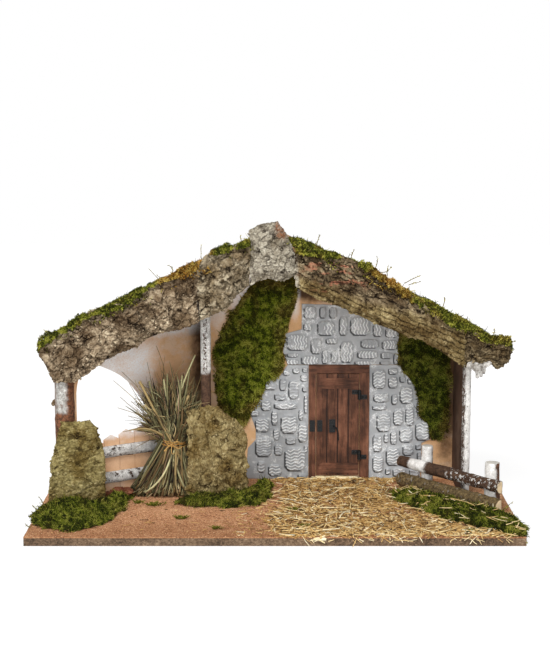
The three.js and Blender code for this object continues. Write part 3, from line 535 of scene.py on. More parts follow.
# %% Crumbs
def crumbs(spots, radius, rng):
    """Small closed eight-faced stones or crumbs, each squashed and turned its own way."""
    corners = np.array([(1, 0, 0), (0, 1, 0), (-1, 0, 0), (0, -1, 0), (0, 0, 1), (0, 0, -1)], float)
    pattern = [(0, 1, 4), (1, 2, 4), (2, 3, 4), (3, 0, 4), (1, 0, 5), (2, 1, 5), (3, 2, 5), (0, 3, 5)]
    sizes = radius[:, None, None] * rng.uniform(0.5, 1.3, (len(spots), 6, 1))
    ahead = unit(rng.normal(size=(len(spots), 3)))
    side = unit(np.cross(ahead, rng.normal(size=(len(spots), 3))))
    spin = np.stack([ahead, side, np.cross(ahead, side)], axis=2)
    points = spots[:, None] + np.einsum("nij,nkj->nki", spin, corners * sizes)
    faces = 6 * np.arange(len(spots))[:, None, None] + np.array(pattern)
    return points.reshape(-1, 3), faces.reshape(-1, 3)


points, faces = crumbs(np.zeros((1, 3)), np.ones(1), np.random.default_rng(1))
print("a crumb has", len(points), "points and", len(faces), "faces")


# %% Places spread over a mesh
def scattered(points, triangles, count, rng):
    """Random places on a mesh, evenly over its area, and the way each one faces."""
    a, b, c = (points[triangles[:, k]] for k in range(3))
    cross = np.cross(b - a, c - a)
    area = np.linalg.norm(cross, axis=1)
    chosen = rng.choice(len(triangles), count, p=area / area.sum())
    u, v = rng.random((2, count))
    over = u + v > 1
    u, v = np.where(over, 1 - u, u)[:, None], np.where(over, 1 - v, v)[:, None]
    spots = a[chosen] + u * (b - a)[chosen] + v * (c - a)[chosen]
    return spots, cross[chosen] / area[chosen, None]


spots, _ = scattered(ridge_points, split(ridge_faces), 100, np.random.default_rng(2))
print("100 places on ridge_bark, in the mean", round(spots[:, 2].mean() / MM, 1), "mm high")

# %% [markdown]
# ## The board and the sand
# A particle board with a dark edge carries a layer of coarse orange-brown sand in glue. The
# board keeps its measured shape and gets two sizes of chips as noise. The sand could be a bump
# alone, but at this low angle that looks like painted paper. So it gets real relief from a fine
# grid, and loose grains on top of it.
# %% Board
board = Finish("board_edge")
chips = board.strong(1.8, 5, 0.8, (1.3, 1, 1)) * 0.65 + board.strong(30, 4, 0.6, (1.6, 1, 1)) * 0.35
colour = board.ramp(chips, (0.1, "33271d"), (0.4, "5e4a38"), (0.7, "7d6650"), (1.0, "a48e74"))
board.surface(colour, 0.85, chips, 0.4)
dressed("base_board", board, 0.4)

# %% The sand's fine grid
low, high = (np.array(corner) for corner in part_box("sand_layer"))
COLUMNS, ROWS = 310, 155
columns = np.linspace(low[0], high[0], COLUMNS + 1)
rows = np.linspace(low[1], high[1], ROWS + 1)
across, along = np.meshgrid(columns, rows)
flat = np.stack([across.ravel(), along.ravel(), np.full(across.size, high[2])], axis=1)
relief = 0.5 * rough(flat, 3, 11) + 0.4 * rough(flat, 26, 12)
top = flat + np.outer(relief * MM, (0, 0, 1))
bottom = flat * (1, 1, 0) + (0, 0, low[2])
grid = np.arange(len(flat)).reshape(ROWS + 1, COLUMNS + 1)
quads = np.stack([grid[:-1, :-1], grid[:-1, 1:], grid[1:, 1:], grid[1:, :-1]], axis=-1).reshape(-1, 4)
border = np.concatenate([grid[0, :-1], grid[:-1, -1], grid[-1, :0:-1], grid[:0:-1, 0]])
following = np.roll(border, -1)
rim = np.stack([border + len(flat), following + len(flat), following, border], axis=1)
faces = np.concatenate([quads, quads[:, ::-1] + len(flat), rim])
print("the sand's relief is up to", round(np.abs(relief).max(), 2), "mm")

# %% The sand's look
sand = Finish("coarse_sand")
grain = sand.node("ShaderNodeSeparateColor", None, {0: sand.cells(1.1, output="Color")})
tint = sand.noise(24, 3) * 0.45 + grain * 0.6
colour = sand.ramp(tint, (0.16, "6f4a34"), (0.34, "a67452"), (0.6, "c38f68"), (0.85, "dcb18a"))
towards_the_viewer = sand.axes()[1].step(-40, -115)
colour = sand.mix(towards_the_viewer * 0.9, colour, tone("d8d2cc"), "MULTIPLY")
sand.surface(colour, 0.95, sand.cells(1.2) * -1 + sand.noise(2, 3), 0.5, specular=0.1)
piece("sand_relief", np.concatenate([top, bottom]), faces, sand, "sand", ["sand_layer"])

# %% Loose grains
rng = np.random.default_rng(3)
count = 9000
GRAINS_ACROSS = (-0.249, 0.249)
GRAINS_DEEP = (-0.124, 0.115)
x, y = rng.uniform(*GRAINS_ACROSS, count), rng.uniform(*GRAINS_DEEP, count)
spots = np.stack([x, y, np.full(count, GROUND)], 1)
points, faces = crumbs(spots, rng.uniform(0.35, 0.75, count) * MM, rng)
grains = Finish("loose_grains")
colour = grains.ramp(
    grains.painted("shade"), (0.0, "543624"), (0.25, "9c6b49"), (0.7, "c4956d"), (1.0, "e4c19b")
)
grains.surface(colour, 0.9, specular=0.15)
piece("sand_grains", points, faces, grains, "sand", shade=np.repeat(rng.random(count), 6))

# %% [markdown]
# ## Thin board walls
# The walls, the roof and the pickets are thin tan fibreboard. Somebody sprayed white paint over
# parts of them, with a soft edge. The dark brown patches are painted shade: in corners, under the
# roof's front edge and behind the sheaf. The spray could be painted on an image, but an image needs
# unwrapping and is only sharp at one distance. Instead each patch of spray or painted shade is a
# mask drawn from the place on the wall, with noise on its rim, on the side that faces the front.


# %% Sprayed panels
def blot(finish, centre, reach, edge=0.35):
    """A soft patch, 1 inside and 0 outside. Its centre and reach are in mm along X and Z."""
    x, _, z = finish.axes()
    far = (((x - centre[0]) / reach[0]) ** 2 + ((z - centre[1]) / reach[1]) ** 2) ** 0.5
    ragged = far + (finish.noise(14, 5, 0.7) - 0.5) * 0.9
    return 1 - ragged.step(1 - edge, 1 + edge)


def panel_finish(name, light, dark, white=(), brown=(), cloudy="dccbb9"):
    """Fibreboard between two tones. White lists spray and brown lists painted shade: centre, reach and
    strength.
    """
    made = Finish(name)
    fibre = made.noise(1.2, 4, 0.7)
    swirl = made.noise(26, 4, 0.65, (1.4, 1, 0.8)).step(0.5, 0.62) * 0.35
    colour = made.mix(made.noise(40, 3).step(0.35, 0.7), light, dark)
    colour = made.mix(swirl, colour, tone(cloudy))
    colour = made.mix(fibre.step(0.45, 0.8) * 0.25, colour, tone("6b4a30"))
    front = made.towards_the_front()
    # The brown patches are painted shade: dark brown in corners, under the roof and behind things.
    for centre, reach, strength in brown:
        colour = made.mix(blot(made, centre, reach) * strength * front, colour, tone("3b271b"))
    for centre, reach, strength in white:
        speckled = 0.6 + 0.4 * made.noise(1.5, 3, 0.8).step(0.35, 0.6)
        streaked = 0.7 + 0.3 * made.noise(20, 4, 0.7, (2, 1, 0.6)).step(0.35, 0.6)
        spray = blot(made, centre, reach) * strength * speckled * streaked * front
        colour = made.mix(spray, colour, tone("f1f0f0"))
    made.surface(colour, 0.85, fibre, 0.12, specular=0.15)
    return made


# %% Walls, roof boards and pickets
back_panel = panel_finish(
    "back_panel",
    "dcb184",
    "cd9f72",
    white=[((-36, 240), (30, 34), 1.0), ((-66, 206), (10, 22), 0.6), ((21, 214), (7, 20), 0.7)],
    # Painted shade in brown: under the roof's front edge, and in the corner by the right wall.
    brown=[((6, 262), (44, 14), 0.95), ((46, 228), (38, 14), 0.95), ((196, 120), (14, 90), 0.85)],
)
slanted_panel = panel_finish(
    "slanted_panel",
    "e2b78c",
    "cda077",
    white=[((-166, 158), (34, 28), 1.0), ((-112, 196), (30, 18), 1.0), ((-148, 128), (14, 18), 0.8)],
    # Painted shade in brown, in the corner by the partition at the middle post.
    brown=[((-74, 215), (22, 90), 0.9), ((-78, 110), (14, 60), 0.7)],
)
plain_panel = panel_finish("plain_panel", "c29a70", "b08458")
dark_panel = panel_finish("dark_panel", "5c463a", "3f2f27", cloudy="76604f")
dressed("back_wall", back_panel)
dressed("slanted_wall", slanted_panel)
dressed("partition_wall", panel_finish("partition_panel", "7a5b41", "5d4431", cloudy="8f7258"))
dressed("right_wall", dark_panel)
for node in ("roof_board_left", "roof_board_right", "ridge_batten"):
    dressed(node, plain_panel)
picket_panel = panel_finish(
    "picket_panel",
    "dcb490",
    "c99c74",
    white=[((-160, 82), (70, 10), 0.75)],
    # Painted shade in brown, behind the sheaf.
    brown=[((-118, 50), (16, 50), 0.3)],
)
pickets = [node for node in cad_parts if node[:-1] == "picket_"]
for node in pickets:
    dressed(node, picket_panel, 0.5)
print("4 walls, 2 roof boards, the batten and", len(pickets), "pickets")

# %% [markdown]
# ## Embossed stone card
# The grey stones are pressed card: each stone stands about a millimetre proud, and most carry
# zigzag ridges brushed with white. Ridges made as a bump would be easier, but they would look
# flat from the side, and the white would have to be lined up with them. The measured cards have
# the stones. A fine remesh rounds their edges, and the ridges are then pushed out of the stones'
# faces, so that the brushed white can follow them as a number stored on the points.
# %% The card's look
CARD_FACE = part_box("door_jamb_left")[1].y - 1.2 * MM
STONE_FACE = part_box("stone_card_left")[0].y
stone = Finish("embossed_stone")
colour = stone.mix(stone.noise(18, 4).step(0.35, 0.7), "b1b3b5", "9fa2a5")
# Painted shadow on the stones' sides that face left and down.
colour = stone.mix(stone.painted("groove") * 0.9, colour, tone("2c3033"))
scuffed = stone.noise(11, 5, 0.75).step(0.52, 0.64) * stone.noise(1.6, 4, 0.8).step(0.4, 0.55)
brushed = stone.painted("ridge").step(0.25, 0.7) * stone.noise(3, 5, 0.8).step(0.3, 0.55)
colour = stone.mix((scuffed * 0.75).either(brushed), colour, tone("f6f8f8"))
shaded_corner = blot(stone, (-20, 24), (66, 62), 0.5)
colour = stone.mix(shaded_corner * 0.8, colour, tone("c9c8c6"), "MULTIPLY")
stone.surface(colour, 0.5, stone.noise(0.9, 4, 0.7), 0.1, specular=0.4)
print("stones stand", round((CARD_FACE - STONE_FACE) / MM, 1), "mm proud of the card")

# %% Ridges on the stones
RIDGE_HEIGHT = 0.7
RIDGE_SPACING = 3.7
ZIGZAG_WIDTH = 8.5


def stone_card(node, upright, seed):
    """Ridges run across the stones, or up and down on a card that is glued on upright."""
    points, faces, normals = refined(node, 0.5, 8)
    proud = np.clip((CARD_FACE - points[:, 1]) / (CARD_FACE - STONE_FACE), 0, 1)
    run, rise = (points[:, 2], points[:, 0]) if upright else (points[:, 0], points[:, 2])
    zigzag = np.abs(((run / MM + 2 * lumps(points, 22, seed)) / ZIGZAG_WIDTH) % 1 - 0.5) * 2
    bent = 0.55 * zigzag + 0.9 * lumps(points, 18, seed + 1)
    wave = np.sin(2 * math.pi * (rise / MM / RIDGE_SPACING + bent))
    face = ease(proud, 0.75, 0.95) * (normals[:, 1] < -0.5)
    ridge = face * ease(wave, 0.1, 0.95)
    strong = ease(lumps(points, (16, 90, 14), seed + 2), -0.5, -0.1)
    # The sides facing left and down are stored for a painted shadow, as if lit from the upper right.
    groove = ease(-normals[:, 0] - 0.8 * normals[:, 2], 0.12, 0.45) * (proud > 0.01) * (proud < 0.97)
    raised = RIDGE_HEIGHT * ridge + 0.15 * rough(points, 5, seed + 3) * face
    pushed = points - np.outer(raised * MM, (0, 1, 0))
    painted = {"ridge": ridge * strong, "groove": groove}
    piece(f"{node}_ridges", pushed, faces, stone, "stone_card", [node], **painted)


stone_card("stone_card_left", False, 21)
stone_card("stone_card_right", False, 25)
stone_card("stone_card_top", True, 29)

# %% [markdown]
# ## The plank door
# Four red-brown stained boards between two battens, in a frame of the same wood, with black
# hinges, a latch and a pull. Grain could come from a picture of wood, which would have to be laid
# along each board. Here it is noise that is drawn out along the boards. The hardware is black
# with a soft sheen, and its edges are slightly rounded so that they catch the light.


# %% Stained wood
def stained(name, stretch, worn=0.5, seams=()):
    """Stained wood. Seams are the places in mm along X where a line of shade is painted between two
    boards.
    """
    made = Finish(name)
    streak = made.strong(4, 6, 0.7, stretch)
    fine = made.noise(1.2, 4, 0.7, stretch)
    cloud = made.noise(22, 4, 0.6)
    value = streak * 0.33 + fine * 0.33 + cloud.step(0.35, 0.65) * 0.34
    colour = made.ramp(value, (0.15, "2a160e"), (0.4, "50301f"), (0.65, "724834"), (0.95, "9a6d52"))
    scraped = made.noise(6, 5, 0.8, stretch).step(0.6, 0.7) * made.strong(1.5)
    colour = made.mix(scraped * worn, colour, tone("ab8266"))
    across = made.axes()[0]
    # A dark line of painted shade along each seam, where the grooves between the boards lie.
    for seam in seams:
        colour = made.mix(abs(across - seam).step(1.1, 0.45) * 0.85, colour, tone("1c0f09"))
    made.surface(colour, 0.5 + fine * 0.3, fine * 0.6 + streak * 0.4, 0.35, specular=0.3)
    return made


leaf_low, leaf_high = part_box("door_leaf")
BOARDS = 4
seams = np.linspace(leaf_low[0], leaf_high[0], BOARDS + 1)[1:-1] / MM
upright_wood = stained("stained_upright", (1, 1, 9), 0.25, seams)
level_wood = stained("stained_level", (9, 1, 1), 0.25)
frame_wood = stained("stained_frame", (1, 1, 9), 0.6)
dressed("door_leaf", upright_wood, 0.35)
for node in ("door_jamb_left", "door_jamb_right"):
    dressed(node, frame_wood, 0.35)
for node in ("door_head", "door_batten_top", "door_batten_bottom"):
    dressed(node, level_wood, 0.35)
# The places where shade is painted between the door's boards.
print("dirt between the door's boards at x =", np.round(seams, 1), "mm")

# %% Black iron
iron = Finish("black_hardware")
pitting = iron.noise(1.1, 4, 0.7)
colour = iron.mix(pitting.step(0.4, 0.75), "080a0b", "171a1c")
iron.surface(colour, 0.4 + pitting * 0.25, pitting, 0.12, 0.35)
for name in ("hinge_strap", "hinge_hook"):
    for place in ("upper", "lower"):
        dressed(f"{name}_{place}", iron, 0.12)
for node in ("latch_keeper", "latch_plate", "pull_plate", "door_pull"):
    dressed(node, iron, 0.2)
print("4 hinge arms and 4 pieces of the latch and pull")

# %% [markdown]
# ## Bolt heads
# Each arm of a hinge is held by two round-headed bolts, less than three millimetres wide. They
# could be a bump on the arm, but they stand out far enough to show against the light. So each one
# is a low closed dome of rings, placed by shares of the arm's own box, and it rides on the same
# body as the arm: the straps' bolts turn with the door.
# %% Bolt heads
ARM_THICKNESS = 0.8 * MM
BOLT_RADIUS = 1.3


def bolts(name, node, places, body):
    """Low domes on the face of a hinge's arm. Places are shares of its box's width and height."""
    low, high = (np.array(corner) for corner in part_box(node))
    face = high[1] - ARM_THICKNESS
    around, levels = 14, 5
    turns = np.linspace(0, 2 * math.pi, around, endpoint=False)
    parts = []
    for across, up in places:
        middle = low + np.array([across, 0, up]) * (high - low)
        middle[1] = face
        rings = []
        for climb in np.linspace(0, 0.48 * math.pi, levels):
            out = BOLT_RADIUS * math.cos(climb) * MM
            lift = 0.75 * BOLT_RADIUS * math.sin(climb) * MM
            ring = np.stack([out * np.cos(turns), 0 * turns - lift, out * np.sin(turns)], 1)
            rings.append(middle + ring)
        grid = np.arange(levels * around).reshape(levels, around)
        after = np.roll(grid, -1, axis=1)
        walls = np.stack([grid[:-1], after[:-1], after[1:], grid[1:]], -1).reshape(-1, 4)
        fans = [(grid[0, 0], grid[0, k + 1], grid[0, k]) for k in range(1, around - 1)]
        fans += [(grid[-1, 0], grid[-1, k], grid[-1, k + 1]) for k in range(1, around - 1)]
        parts.append((np.concatenate(rings), np.concatenate([split(walls), np.array(fans)]), {}))
    points, faces, _ = merged(*parts)
    piece(name, points, faces, iron, "black_iron", body=body)


for place in ("upper", "lower"):
    bolts(f"strap_bolts_{place}", f"hinge_strap_{place}", [(0.14, 0.5), (0.45, 0.5)], "door")
    bolts(f"hook_bolts_{place}", f"hinge_hook_{place}", [(0.86, 0.24), (0.56, 0.24)], "stable")

# %% [markdown]
# ## Cork bark
# Broken bark covers the roof's front edge and leans on the posts. A displacement in the material
# could roughen it, but no crumb could then lie on it. So the measured slabs are remeshed finely
# and pushed in and out by two sizes of cracked plates, by rows of plates on the lower part of the
# right one, and by rough noise, and loose crumbs stick to them. How far each point was pushed is
# stored on it. Pits are then darker and the highest crumbs paler, partly the bark's own tones and
# partly painted shade and painted highlight, and cracks and pits get a near-black painted shade.
# %% The look of bark
BARK_STOPS = (0.16, 0.4, 0.64, 0.92)
PALE = ("484037", "8c8375", "b0a896", "d2cbbb")


def bark_finish(
    name,
    tones,
    stain,
    lower=None,
    pink=None,
    brown_top=None,
    pale_end=None,
    fleck=2,
    grain=(1, 1, 1),
):
    """Tones run from the pits, partly painted shade, to the highest crumbs, partly a painted highlight.
    The lower half may have tones of its own.
    Fleck is the size in mm of the fine pattern, and grain says how far it is drawn out."""
    made = Finish(name)
    fine = made.strong(fleck, 6, 0.8, grain) * 0.36
    # Height gives painted shade to the pits and a painted highlight to the highest crumbs.
    value = made.painted("height") * 0.6 + fine + made.noise(9, 5, 0.75) * 0.4 - 0.14
    colour = made.ramp(value, *zip(BARK_STOPS, tones))
    if lower:
        lower_colour = made.ramp(value, *zip(BARK_STOPS, lower))
        colour = made.mix(made.painted("low"), colour, lower_colour)
    if pale_end:
        pale_colour = made.ramp(value, *zip(BARK_STOPS, PALE))
        colour = made.mix(blot(made, *pale_end), colour, pale_colour)
    cloud = made.noise(24, 4, 0.65).step(0.4, 0.62) * 0.8
    colour = made.mix(cloud, colour, tone(stain), "MULTIPLY")
    if pink:
        patch = blot(made, *pink) * made.noise(9, 4, 0.6, (2.4, 1, 0.7)).step(0.55, 0.6)
        colour = made.mix(patch * 0.8 * made.strong(2.4), colour, tone("cf8468"))
    if brown_top:
        colour = made.mix(blot(made, *brown_top) * made.strong(2.4), colour, tone("8a5434"))
    broken = made.noise(6, 5, 0.75).step(0.34, 0.56)
    # Near-black painted shade in the cracks and pits, broken up by noise.
    colour = made.mix(made.painted("crack") * broken * 0.88, colour, tone("1a130e"))
    made.surface(colour, 0.95, made.noise(1.8, 6, 0.8), 1.1, specular=0.06)
    return made


RIDGED = ("282019", "5a4d3a", "84735a", "b8a988")
OCHRE = ("241b12", "655539", "948259", "c4b58a")
OLIVE = ("2e2618", "72653f", "958858", "c0b386")
KHAKI = ("32281a", "776744", "9b8b60", "c8b98e")
right_blots = {"pink": ((64, 262), (36, 21)), "pale_end": ((19, 250), (6, 26))}
scaly = bark_finish("scaly_cork", ("2a2019", "75644f", "a8957b", "dccdb0"), "85735f")
pale = bark_finish("pale_bark", ("302820", "7a6e5a", "a6987f", "d0c5ab"), "a09078")
crest = bark_finish("crest_bark", PALE, "9c9386", brown_top=((8, 306), (8, 11)))
ridged = bark_finish("ridged_bark", RIDGED, "94826c", OCHRE, **right_blots)
dull = bark_finish("dull_bark", ("241c15", "5e513c", "85755a", "b3a384"), "8c7b5e")
olive = bark_finish("olive_cork", OLIVE, "a8956f", fleck=1.3, grain=(2, 1, 0.8))
khaki = bark_finish("khaki_cork", KHAKI, "ab9872", fleck=1.3, grain=(0.8, 1, 2))
print("7 finishes for bark")


# %% The rows of plates lie under a sloping line
def lowness(points, edge_line):
    """1 on the side of a sloping line that is nearer the ground. The line is given by its height
    at x = 0 and its fall per mm."""
    if not edge_line:
        return np.zeros(len(points))
    above = points[:, 2] / MM - edge_line[0] + edge_line[1] * np.abs(points[:, 0]) / MM
    return 1 - ease(above + 7 * rough(points, 20, 3), -5, 6)


RIGHT_EDGE_LINE = (262, 0.32)
on_the_line = np.array([[0, 0, RIGHT_EDGE_LINE[0]]]) * MM
print("half low on the line:", np.round(lowness(on_the_line, RIGHT_EDGE_LINE), 2))


# %% Loose crumbs on bark
def bark_crumbs(points, triangles, count, edge_line, rng):
    """Crumbs of two sizes, spread over a slab, with the numbers that its finish needs."""
    spots, _ = scattered(points, triangles, count, rng)
    is_large = rng.random(count) < 0.2
    radius = np.where(is_large, rng.uniform(1.2, 2.4, count), rng.uniform(0.4, 1.1, count))
    chip, chip_faces = crumbs(spots, radius * MM, rng)
    height = np.repeat(rng.uniform(0.2, 1.0, count), 6)
    low = np.repeat(lowness(spots, edge_line), 6)
    return chip, chip_faces, {"height": height, "low": low, "crack": 0 * low}


# %% The shape of bark
ROW_SIZE = (17, 9, 5.4)


def bark(
    node, finish, size, depth, seed, tilt=0.0, edge_line=None, crumbly=1.0, ragged=1.0, cracked=1.0
):
    """Plates of a size in mm, as long, deep and high, turned by tilt about Y. Under the edge line
    they lie in rows. Crumbly, ragged and cracked say how strongly each of these shows."""
    rng = np.random.default_rng(seed)
    points, faces, normals = refined(node, 0.8, 1)
    c, s = math.cos(tilt), math.sin(tilt)
    turned = points @ np.array([[c, 0, s], [0, 1, 0], [-s, 0, c]])
    bent = turned + drift(points, 11, seed) * 4.5 * MM + drift(points, 3, seed + 4) * 0.9 * MM
    crack, plate = plates(bent, size, seed)
    gap, crumb = plates(bent, (4.4, 5, 3.6), seed + 5)
    low = lowness(points, edge_line)
    if edge_line:
        rows = turned + (drift(points, 22, seed) * 4 + drift(points, 5, seed + 4) * 1.1) * MM
        row_crack, row_plate = courses(rows, ROW_SIZE, seed)
        crack = crack + (row_crack - crack) * low
        plate = plate + (row_plate - plate) * low
    fine = ease(lumps(points, 15, seed + 6), -0.5, 0.3) * (1 - 0.6 * low) * crumbly
    small = 1 - ease(gap, 0.0, 0.22)
    large = (1 - ease(crack, 0.0, 0.18)) * cracked
    pits = ease(lumps(bent, (9, 9, 5), seed + 9), 0.4, 0.7) * (1 - 0.7 * low)
    raised = 1.1 * cracked * (plate - 0.5) + 0.6 * (crumb - 0.5) * fine
    raised = raised + 0.7 * rough(bent, (4, 4, 3), seed + 7) - large - 0.4 * small * fine - 1.2 * pits
    swell = 1.4 * lumps(turned, (26, 16, 12), seed + 8)
    pushed = points + normals * ((raised + swell) * depth * MM)[:, None]
    pushed = pushed + drift(points, 6, seed + 12) * (ragged * MM)
    # Height is for painted shade in pits and a painted highlight on high points; shadow is the painted
    # shade of cracks and pits, stored as crack.
    height = np.clip(0.62 + 0.3 * raised + 0.1 * swell, 0, 1)
    shadow = np.clip(large + 0.5 * small * fine + 0.45 * pits * cracked, 0, 1)
    body = (pushed, split(faces), {"height": height, "low": low, "crack": shadow})
    loose = bark_crumbs(pushed, body[1], int(len(points) / 16 * crumbly), edge_line, rng)
    points, faces, painted = merged(body, loose)
    piece(f"{node}_bark", points, faces, finish, "cork_bark", [node], smooth=False, **painted)


# %% The slabs of bark
bark("fascia_left_lower", scaly, (14, 9, 8), 2.0, 41, -ROOF_PITCH, cracked=0.65)
bark("fascia_left_upper", pale, (12, 9, 9), 1.7, 43, -ROOF_PITCH, crumbly=0.7, cracked=0.7)
bark("ridge_bark", crest, (8, 9, 7), 1.4, 45, crumbly=0.7, cracked=0.6)
bark("fascia_right", ridged, (24, 9, 5), 1.7, 47, ROOF_PITCH, RIGHT_EDGE_LINE, 0.5)
bark("fascia_right_end", dull, (18, 9, 6), 1.7, 49, ROOF_PITCH, cracked=0.7)
bark("left_cork_slab", olive, (15, 8, 4), 0.8, 51, crumbly=0.9, ragged=2, cracked=0.45)
bark("middle_cork_slab", khaki, (4, 8, 15), 0.8, 53, crumbly=0.9, ragged=3.4, cracked=0.45)

# %% [markdown]
# ## Birch
# The posts of the walls and of the log fence are thin birch branches. Birch bark is chalk white
# with short dark flecks, and brown where it has peeled or frayed. Cut ends are pale wood. A strip
# of bark as an image could be wrapped round each branch, but it would show a seam. So the
# measured branches are remeshed and roughened a little. Each point stores whether it lies on a
# cut end, and its distance along the branch, so that each branch can have its own peeled part.
# %% The look of birch
FRESH_WOOD = ("e6d2b2", "c9ab82")
GREY_WOOD = ("dad7cf", "b3aea4")
WHITE_BARK = ("e4e2de", "aeaba6")
CHALK = ("f4f2ef", "d3d0cb")


def birch_finish(
    name,
    peeled,
    flecks=0.6,
    dark="2f241d",
    bare="7d5440",
    wood=FRESH_WOOD,
    white=WHITE_BARK,
    speckle=0.6,
):
    """Peeled is given the material and returns how brown each place is, from 0 to 1."""
    made = Finish(name)
    fleck = made.noise(2.2, 4, 0.75, (1.6, 1.6, 1)).step(flecks, flecks + 0.08)
    grey = made.noise(5, 4, 0.6)
    colour = made.mix(grey.step(0.3, 0.7), *white)
    colour = made.mix(made.noise(1.4, 3, 0.8).step(0.44, 0.56) * speckle, colour, tone("73706c"))
    colour = made.mix(fleck * 0.9, colour, tone(dark))
    brown = made.mix(made.strong(3), dark, bare)
    peel = peeled(made)
    colour = made.mix(peel, colour, brown)
    colour = made.mix(made.painted("cut"), colour, made.mix(made.noise(1.6, 3, 0.6), *wood))
    made.surface(colour, 0.8, fleck * -0.5 + grey - peel * 0.8, 0.4, specular=0.15)
    return made


# %% The shape of a branch
def branch(node, finish, slot, along, depth, seed):
    """Along is the branch's own direction. Points that face along it lie on a cut end."""
    points, faces, normals = refined(node, 0.7, 2)
    axis = np.array(along, float) / np.linalg.norm(along)
    flat = ease(np.abs(normals @ axis), 0.75, 0.9)
    reach = points @ axis
    run = reach - reach.min()
    cut = flat * (np.minimum(run, run.max() - run) < 2.5 * MM)
    raised = (0.6 * rough(points, 5, seed) + 0.7 * lumps(points, 14, seed + 1)) * depth * (1 - cut)
    pushed = points + normals * (raised * MM)[:, None]
    piece(f"{node}_birch", pushed, faces, finish, slot, [node], cut=cut, run=run / MM)


# %% Where the posts are brown
def side_peel(finish, edge, soft=1.5):
    """Brown to the right of a ragged line at x = edge, or to the left if soft is negative."""
    x = finish.axes()[0]
    return (x + (finish.noise(9, 5, 0.7) - 0.5) * 9).step(edge - soft, edge + soft)


def below(finish, height, soft=3):
    """Brown under a ragged line at a height in mm."""
    z = finish.axes()[2]
    return (z + (finish.noise(8, 5, 0.75) - 0.5) * 12).step(height + soft, height - soft)


def left_post_peel(made):
    """Brown on both sides, at the foot and in smudges."""
    left_rim, right_rim, foot = -233, -221.5, 108
    smudged = made.noise(7, 5, 0.75).step(0.52, 0.64) * 0.55
    left_brown = side_peel(made, left_rim, -1.5) * 0.6
    brown = side_peel(made, right_rim, 2.5).either(below(made, foot))
    return brown.either(smudged).either(left_brown)


def middle_post_peel(made):
    """Brown at the foot, and in spots down the middle."""
    post_middle, foot = -75.0, 147
    x = made.axes()[0]
    spots = made.noise(2.0, 3, 0.7, (1, 1, 1.3)).step(0.5, 0.56)
    column = abs(x - post_middle).step(2.6, 1.6) * spots
    return column.either(below(made, foot))


def right_post_peel(made):
    """Peppered along the left edge, with a few spots elsewhere."""
    left_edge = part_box("right_post")[0].x / MM
    pepper = made.noise(2, 4, 0.8, (0.8, 1, 1.6)).step(0.42, 0.5)
    pepper = pepper * side_peel(made, left_edge + 3, -1.5)
    return pepper.either(made.noise(3, 4, 0.7, (0.8, 1, 1.8)).step(0.6, 0.64))


def rear_fence_post_peel(made):
    """A paler brown on the right side."""
    right_rim = 174
    return side_peel(made, right_rim) * 0.8


def front_fence_post_peel(made):
    """Brown on the right side."""
    right_rim = 233
    return side_peel(made, right_rim)


# %% Posts
DULL_WHITE = ("d2d0cb", "98958f")
CLEAN_WHITE = ("efedea", "cdcac5")
left_birch = birch_finish("left_birch", left_post_peel, 0.62, bare="85573d", white=DULL_WHITE)
middle_birch = birch_finish("middle_birch", middle_post_peel, 0.75, bare="5c4334")
right_birch = birch_finish(
    "right_birch", right_post_peel, 0.62, bare="5c4638", white=CLEAN_WHITE, speckle=0.25
)
chalky_ends = {"wood": GREY_WOOD, "white": CHALK, "speckle": 0.25}
rear_birch = birch_finish("rear_birch", rear_fence_post_peel, 0.64, **chalky_ends)
front_birch = birch_finish(
    "front_birch", front_fence_post_peel, 0.64, bare="6b4a38", **chalky_ends
)
UP = (0, 0, 1)
branch("left_post", left_birch, "birch", UP, 0.6, 61)
branch("middle_post", middle_birch, "birch", UP, 0.4, 62)
branch("right_post", right_birch, "birch", UP, 0.4, 63)
branch("fence_post_rear", rear_birch, "birch", UP, 0.5, 64)
branch("fence_post_front", front_birch, "birch", UP, 0.5, 65)

# %% [markdown]
# ## Rails
# Two white rails run across the pickets, and two rails join the log fence's posts. These are
# darker: the upper one is white only in a patch and in speckles, and the lower one is nearly bare.
# One finish for all four would be quicker, but the white patch tells them apart. A mask along the
# branch's own length keeps the patch in place although the rail slants.


# %% Where the rails are brown
def within(finish, start, end, soft=5):
    """1 on a part of the branch's length, in mm, with a ragged end."""
    run = finish.painted("run") + (finish.noise(7, 5, 0.75) - 0.5) * 14
    return run.step(start - soft, start + soft) * run.step(end + soft, end - soft)


def spotted(made):
    """Small brown spots all over."""
    return made.noise(5, 5, 0.8, (1.4, 1.4, 1)).step(0.55, 0.59)


def upper_rail_peel(made):
    """Brown apart from a white patch near the rear end and white speckles further on."""
    speckled = within(made, 80, 170) * made.noise(5, 5, 0.75).step(0.54, 0.58)
    patch = within(made, 18, 44, 3) * made.noise(6, 5, 0.75).step(0.28, 0.34)
    return 1 - patch.either(speckled)


def lower_rail_peel(made):
    """Brown with a few paler speckles."""
    speckled = made.noise(5, 5, 0.75).step(0.6, 0.63)
    return 1 - speckled * 0.7


# %% Rails
PICKETS_TURN = math.radians(35)
FENCE_TURN = math.radians(52)
PICKETS_RUN = (-math.cos(PICKETS_TURN), -math.sin(PICKETS_TURN), 0)
FENCE_RUN = (math.cos(FENCE_TURN), -math.sin(FENCE_TURN), 0)
picket_rail = birch_finish("picket_rail_birch", spotted, 0.62, bare="4d3a2f", speckle=0.35)
upper_rail = birch_finish(
    "upper_rail_birch", upper_rail_peel, 0.7, bare="5a4334", white=CHALK, speckle=0.2
)
lower_rail = birch_finish("lower_rail_birch", lower_rail_peel, 0.6, dark="33281c", bare="7d6a48")
branch("picket_rail_upper", picket_rail, "birch", PICKETS_RUN, 0.5, 71)
branch("picket_rail_lower", picket_rail, "birch", PICKETS_RUN, 0.5, 72)
branch("fence_rail_upper", upper_rail, "dark_birch", FENCE_RUN, 1.0, 75)
branch("fence_rail_lower", lower_rail, "dark_birch", FENCE_RUN, 1.2, 76)
